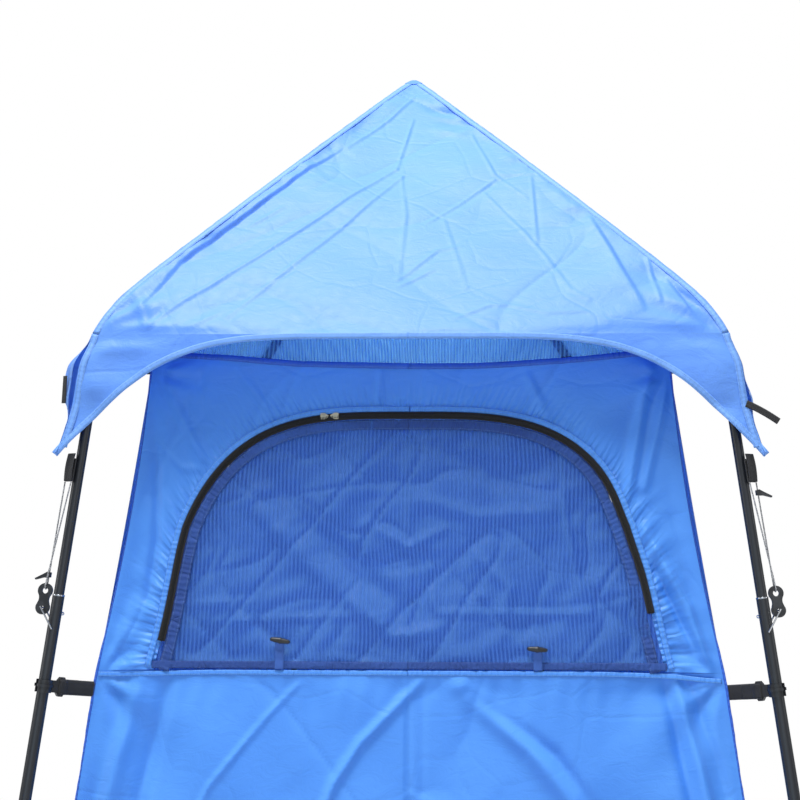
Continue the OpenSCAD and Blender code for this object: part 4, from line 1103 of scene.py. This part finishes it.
def front_band(label, pts2, h, width, thick, mat, node, puff=0.0, split=True, amp=0.0, seed=0, cut=6, away=0.0):
    made = []
    lft, rgt = halves(pts2)
    runs = [("a", lft, "front_left"), ("b", rgt, "front_right")]
    for tag, p, corner in runs:
        p = resample(p, 0.0035)
        extra = amp * vn(arc(p) / 0.008, np.zeros(len(p)), seed) if amp else 0
        lay = wall_relief(0, p[:, 0], p[:, 1]) * held_down(away)
        C = wall_point(p[:, 0], p[:, 1], h + lay + extra * np.ones(len(p)))
        ob = ribbon(f"{label}_{tag}", C, np.tile(W_OUT, (len(C), 1)), width, thick, mat, puff=puff, cut=cut)
        leg_part(ob, 0, -1 if tag == "a" else 1, corner, node)
        made.append((ob, C))
    return made


front_band("window_mesh_border", arch_pts(401, -0.0160), 0.0022, 0.0180, 0.0009, border_m, "window_mesh", puff=0.2, amp=0.0012, seed=5)
front_band("window_edge_seam", arch_pts(401, 0.0120), 0.0026, 0.0105, 0.0012, seam_m, "front_wall", puff=0.3, amp=0.0010, seed=6, away=0.012)
zipped = full[full[:, 1] > WIN_Z0 + np.where(full[:, 0] < 0, 0.043, 0.092)]
tapes = front_band("window_zipper_tape", zipped, 0.0036, 0.0128, 0.0014, zip_m, "window_zipper", puff=0.1)


def teeth(label, pts2, h, node, s, corner, side, step=0.0026):
    p = resample(pts2, step)
    lay = wall_relief(0, p[:, 0], p[:, 1]) * held_down(0.0) if s == 0 else 0.0
    C = spin(wall_point(p[:, 0], p[:, 1], h * np.ones(len(p)) + lay), s)
    T = unit(np.gradient(C, axis=0))
    Nn = np.tile(spin(W_OUT, s), (len(C), 1))
    B = np.cross(Nn, T)
    ob = blocks(label, C, B, T, Nn, (0.0052, 0.0017, 0.0016), teeth_m)
    leg_part(ob, s, side, corner, node)
    return ob


teeth("window_zipper_coil_a", halves(zipped)[0], 0.0050, "window_zipper", 0, "front_left", -1)
teeth("window_zipper_coil_b", halves(zipped)[1], 0.0050, "window_zipper", 0, "front_right", 1)
# bottom border of the window, then the long seam under it
low = np.stack([np.linspace(-WIN_HALF - 0.004, WIN_HALF + 0.004, 201), np.full(201, WIN_Z0 + 0.006)], 1)
front_band("window_foot_border", low, 0.0024, 0.0120, 0.0009, border_m, "window_mesh", puff=0.2, amp=0.0010, seed=8)
xs = np.linspace(-half(WIN_Z0) + 0.002, half(WIN_Z0) - 0.002, 301)
seam_line = np.stack([xs, WIN_Z0 - 0.006 - 0.004 * sstep(0.3, 0.5, np.abs(xs)) - 0.006 * sstep(0.42, 0.52, xs)], 1)
front_band("front_seam", seam_line, 0.0020, 0.0080, 0.0012, seam_m, "front_wall", puff=0.3, amp=0.0010, seed=9)

# top bindings, corner pipings and foot hems
for s in range(4):
    xs = np.linspace(-BODY_TOP + 0.003, BODY_TOP - 0.003, 161)
    z = top_z(s, xs) - 0.003
    wav = 0.0007 * vn(xs / 0.02, xs * 0, 500 + s)
    line = spin(wall_point(xs, z, 0.0018 + wav + wall_relief(s, xs, z)), s)
    xs2 = np.linspace(-BODY_FOOT + 0.014, BODY_FOOT - 0.014, 161)
    foot = spin(wall_point(xs2, np.full(161, WALL_HEM + 0.010), 0.0016 + 0 * xs2), s)
    for side, corner in zip((-1, 1), ENDS[s]):
        sel = xs * side >= -1e-9
        ob = ribbon(f"top_binding_{SIDE[s]}_{'a' if side < 0 else 'b'}", line[sel], np.tile(spin(W_OUT, s), (sel.sum(), 1)), 0.0105, 0.0026, bind_m, puff=0.5)
        leg_part(ob, s, side, corner, "wall_bindings")
        ob = ribbon(f"foot_hem_{SIDE[s]}_{'a' if side < 0 else 'b'}", foot[sel], np.tile(spin(W_OUT, s), (sel.sum(), 1)), 0.016, 0.0020, seam_m, puff=0.4)
        leg_part(ob, s, side, corner, "wall_bindings")
for corner, (sx, sy) in SIGNS.items():
    z = np.linspace(WALL_HEM + 0.001, WALL_TOP - 0.002, 190)
    h = half(z) - edge_in(z)
    off = 0.0016
    wob = 0.0005 * vn(z / 0.012, z * 0, 520)
    hh = half(z)
    pipe = sweep("corner_piping_" + corner, np.stack([sx * (h + off + wob), sy * (h + off + wob), z], 1), 0.0022, bind_m, 8)
    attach(pipe, "leg_" + corner)
    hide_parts("wall_bindings")

# ---------------------------------------------------------------- door zipper on the back wall
DH, DZ0, DZ1, DR = 0.310, 0.060, 1.500, 0.240
a = np.linspace(math.pi, math.pi / 2, 30)
left = np.concatenate([np.stack([np.full(60, -DH), np.linspace(DZ0, DZ1 - DR, 60)], 1), np.stack([-DH + DR + DR * np.cos(a), DZ1 - DR + DR * np.sin(a)], 1)[1:], [[0.0, DZ1]]])
for side, corner in zip((-1, 1), ENDS[2]):
    p = left * np.array([1 if side < 0 else -1, 1])
    p = resample(p, 0.006)
    C = spin(wall_point(p[:, 0], p[:, 1], np.full(len(p), 0.0036)), 2)
    tag = "a" if side < 0 else "b"
    ob = ribbon("door_zipper_tape_" + tag, C, np.tile(spin(W_OUT, 2), (len(C), 1)), 0.0128, 0.0014, zip_m)
    leg_part(ob, 2, side, corner, "door_zipper")
    teeth("door_zipper_coil_" + tag, p, 0.0050, "door_zipper", 2, corner, side, 0.0034)
    for off in (-0.0125, 0.0125):
        tan = unit(np.gradient(p, axis=0))
        pp = p + off * np.stack([-tan[:, 1], tan[:, 0]], 1)
        C = spin(wall_point(pp[:, 0], pp[:, 1], np.full(len(pp), 0.0024)), 2)
        ob = ribbon(f"door_edge_seam_{tag}_{'in' if off < 0 else 'out'}", C, np.tile(spin(W_OUT, 2), (len(C), 1)), 0.0105, 0.0018, seam_m, puff=0.5)
        leg_part(ob, 2, side, corner, "back_wall")

# ---------------------------------------------------------------- straps from the body to the legs
for corner, (phi, turn) in CORNERS.items():
    sx, sy = SIGNS[corner]
    sidev = leg_dir(corner, (0, 1, 0))
    # middle strap: round the clip's bar, sewn down, then flat to the wall's corner
    bar = -0.0320
    a = np.linspace(-math.pi / 2, math.pi / 2, 9)
    front_x = np.linspace(-0.092, bar - 0.004, 24)
    path = [(x, 0.0014) for x in front_x]
    path += [(bar - 0.0038 + 0.0010 * k, 0.0014 + 0.0032 * sstep(0, 4, k)) for k in range(1, 5)]
    path = [(x, 0.0014 + 0.0036 * float(sstep(bar - 0.012, bar - 0.004, x))) for x in front_x]
    path += [(-0.0262 + 0.0038 * math.cos(q) * 0.3, 0.0050 * math.sin(q)) for q in np.linspace(math.pi / 2, -math.pi / 2, 9)]
    path += [(x, -0.0014 - 0.0036 * float(sstep(bar - 0.012, bar - 0.004, x))) for x in np.linspace(bar - 0.004, -0.062, 10)]
    path = resample(np.array(path), 0.0022)
    C = leg_pt(corner, path[:, 0], path[:, 1], np.full(len(path), -RING_AT))
    T = unit(np.gradient(C, axis=0))
    up = leg_dir(corner, (0, 0, 1))
    ob = ribbon("body_strap_" + corner, C, unit(np.cross(T, np.tile(up, (len(C), 1)))), 0.0245, 0.0014, web_m)
    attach(ob, "leg_" + corner)
    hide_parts("body_straps")
    # top strap and foot strap
    outv = np.array([sx, sy, 0.0]) / math.sqrt(2)
    for label, z, r0, r1 in (("top", WALL_TOP - 0.032, BODY_TOP * math.sqrt(2) + 0.002, C_R - 0.0130), ("foot", 0.090, half(0.095) * math.sqrt(2) + 0.002, C_R + (EAVE_Z - 0.09) * math.tan(LEAN) - 0.0115)):
        r = np.linspace(r0, r1, 16)
        C = outv[None, :] * r[:, None] + np.array([0, 0, z]) + np.array([0, 0, 1.0]) * (-0.002 * np.sin(np.linspace(0, math.pi, 16)))[:, None]
        nn = np.array([-outv[1], outv[0], 0.0])
        ob = ribbon(f"{label}_strap_{corner}", resample(C, 0.003), np.tile(nn, (len(resample(C, 0.003)), 1)), 0.020, 0.0016, web_m)
        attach(ob, "leg_" + corner)
        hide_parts("body_straps")
    # bare end of the lower tube, bright where the coating stops
    a = np.linspace(0, 2 * math.pi, 25)[:-1]
    prof = [(0.00972, -0.0026), (0.00985, -0.0020), (0.00985, -0.0004), (0.00960, 0.0001), (0.00875, 0.0001), (0.00872, -0.0004), (0.00872, -0.0026)]
    V = np.array([leg_pt(corner, pr[0] * np.cos(a), pr[0] * np.sin(a), np.full(24, -0.428 + pr[1])) for pr in prof])
    k, nn = len(prof), 24
    faces = [[i * nn + j, i * nn + (j + 1) % nn, ((i + 1) % k) * nn + (j + 1) % nn, ((i + 1) % k) * nn + j] for i in range(k) for j in range(nn)]
    ob = make("tube_end_" + corner, V.reshape(-1, 3), [f[::-1] for f in faces], steel_m, uv=np.zeros((k * nn, 2)))
    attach(ob, "lower_" + corner)

# ---------------------------------------------------------------- window toggles
for side, corner, x0, zt in ((-1, "front_left", -0.214, 0.0), (1, "front_right", 0.214, -0.0125)):
    zc = WIN_Z0 + 0.0456 + zt
    n = 24
    q = np.linspace(-1, 1, n)
    base = wall_point(np.array([x0]), np.array([zc]), np.array([0.0092]))[0]
    ux = np.array([1.0, 0, -0.16 if side < 0 else -0.08])
    ux = ux / np.linalg.norm(ux)
    rad = 0.0046 * (1 - 0.42 * q ** 2) * np.minimum(1, ((1 - np.abs(q)) / 0.10 + 0.06)) ** 0.5 + 0.0007 * np.exp(-(q / 0.12) ** 2)
    path = base[None, :] + ux[None, :] * (0.0172 * q)[:, None]
    tog = sweep(f"toggle_{'a' if side < 0 else 'b'}", path, 0.0045, plastic_m, 16, radii=rad)
    leg_part(tog, 0, side, corner, "window_toggles")
    # its loop of narrow tape, sewn into the seam below
    zz = np.linspace(zc - 0.001, WIN_Z0 - 0.001, 22)
    hh = 0.0042 + 0.0042 * np.exp(-((zz - zc) / 0.006) ** 2) + 0.0006 * vn(zz / 0.008, zz * 0, 77)
    C = wall_point(np.full(22, x0 + 0.001 * side), zz, hh)
    loop = ribbon(f"toggle_loop_{'a' if side < 0 else 'b'}", C, np.tile(W_OUT, (22, 1)), 0.0150, 0.0010, tag_m)
    leg_part(loop, 0, side, corner, "window_toggles")

# ---------------------------------------------------------------- finishes of the CAD nodes that stay
NODE_MATS = {"hub_housing": plastic_m, "hub_cap": plastic_m, "hub_pins": steel_m, "window_slider_left": brass_m, "window_slider_right": brass_m, "door_slider": brass_m}
for name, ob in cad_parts.items():
    mat = NODE_MATS.get(name)
    for start, mm in (("arm_tube", tube_m), ("upper_leg", tube_m), ("lower_leg", tube_m), ("arm_fittings", plastic_m), ("leg_socket", plastic_m), ("leg_hardware", plastic_m), ("tension_hook", steel_m), ("leg_button", steel_m), ("foot_", plastic_m)):
        if name.startswith(start):
            mat = mm
    if mat:
        for slot in ob.material_slots:
            slot.link = "OBJECT"
            slot.material = mat

# ---------------------------------------------------------------- floor and light
floor_m = Nodes("floor")
fp = floor_m.add("ShaderNodeNewGeometry").outputs["Position"]
floor_mat = floor_m.end(floor_m.principled(Base_Color=floor_m.mix(floor_m.noise(fp, 1.5, 3), lin(236, 236, 236), lin(242, 242, 243)), Roughness=0.85))
a = np.linspace(0, 2 * math.pi, 97)[:-1]
fv = [[0, 0, -0.0005]] + [[3.0 * math.cos(k), 3.0 * math.sin(k), -0.0005] for k in a]
floor = make("floor", fv, [[0, 1 + k, 1 + (k + 1) % 96] for k in range(96)], floor_mat, smooth=False)

world = bpy.data.worlds.new("studio")
world.use_nodes = True
wn = world.node_tree
wn.nodes.clear()
bg_seen = wn.nodes.new("ShaderNodeBackground")
bg_seen.inputs[0].default_value = (1, 1, 1, 1)
bg_seen.inputs[1].default_value = 1.0
bg_lit = wn.nodes.new("ShaderNodeBackground")
bg_lit.inputs[0].default_value = (0.93, 0.965, 1.0, 1)
bg_lit.inputs[1].default_value = 0.40
lp = wn.nodes.new("ShaderNodeLightPath")
mixw = wn.nodes.new("ShaderNodeMixShader")
wo = wn.nodes.new("ShaderNodeOutputWorld")
wn.links.new(lp.outputs["Is Camera Ray"], mixw.inputs[0])
wn.links.new(bg_lit.outputs[0], mixw.inputs[1])
wn.links.new(bg_seen.outputs[0], mixw.inputs[2])
wn.links.new(mixw.outputs[0], wo.inputs[0])
SC.world = world


def area(name, loc, target, size, power, color=(1, 1, 1)):
    data = bpy.data.lights.new(name, "AREA")
    data.shape = "SQUARE"
    data.size = size
    data.energy = power
    data.color = color
    ob = bpy.data.objects.new(name, data)
    SC.collection.objects.link(ob)
    ob.location = loc
    ob.rotation_euler = (Vector(target) - Vector(loc)).to_track_quat("-Z", "Y").to_euler()


area("key", (-0.5, -1.5, 5.5), (0, 0, 1.7), 1.9, 285)
area("fill", (1.2, -4.0, 2.0), (0, 0, 1.3), 2.0, 13)
area("low", (-0.5, -3.4, 0.75), (0, 0, 1.45), 2.0, 15, (0.62, 0.82, 1.0))
area("left", (-3.6, -1.4, 2.0), (0, 0, 1.5), 1.6, 20)
area("right", (3.6, -1.4, 2.0), (0, 0, 1.5), 1.6, 12)
area("back", (0.4, 3.6, 4.0), (0, 0, 1.7), 2.4, 45)
glow = bpy.data.lights.new("glow", "POINT")
glow.energy = 7.0
glow.shadow_soft_size = 0.22
glow.color = (0.86, 0.95, 1.0)
glow_ob = bpy.data.objects.new("glow", glow)
SC.collection.objects.link(glow_ob)
glow_ob.location = (0, 0.05, 1.86)
SC.view_settings.view_transform = "Standard"
SC.view_settings.look = "None"
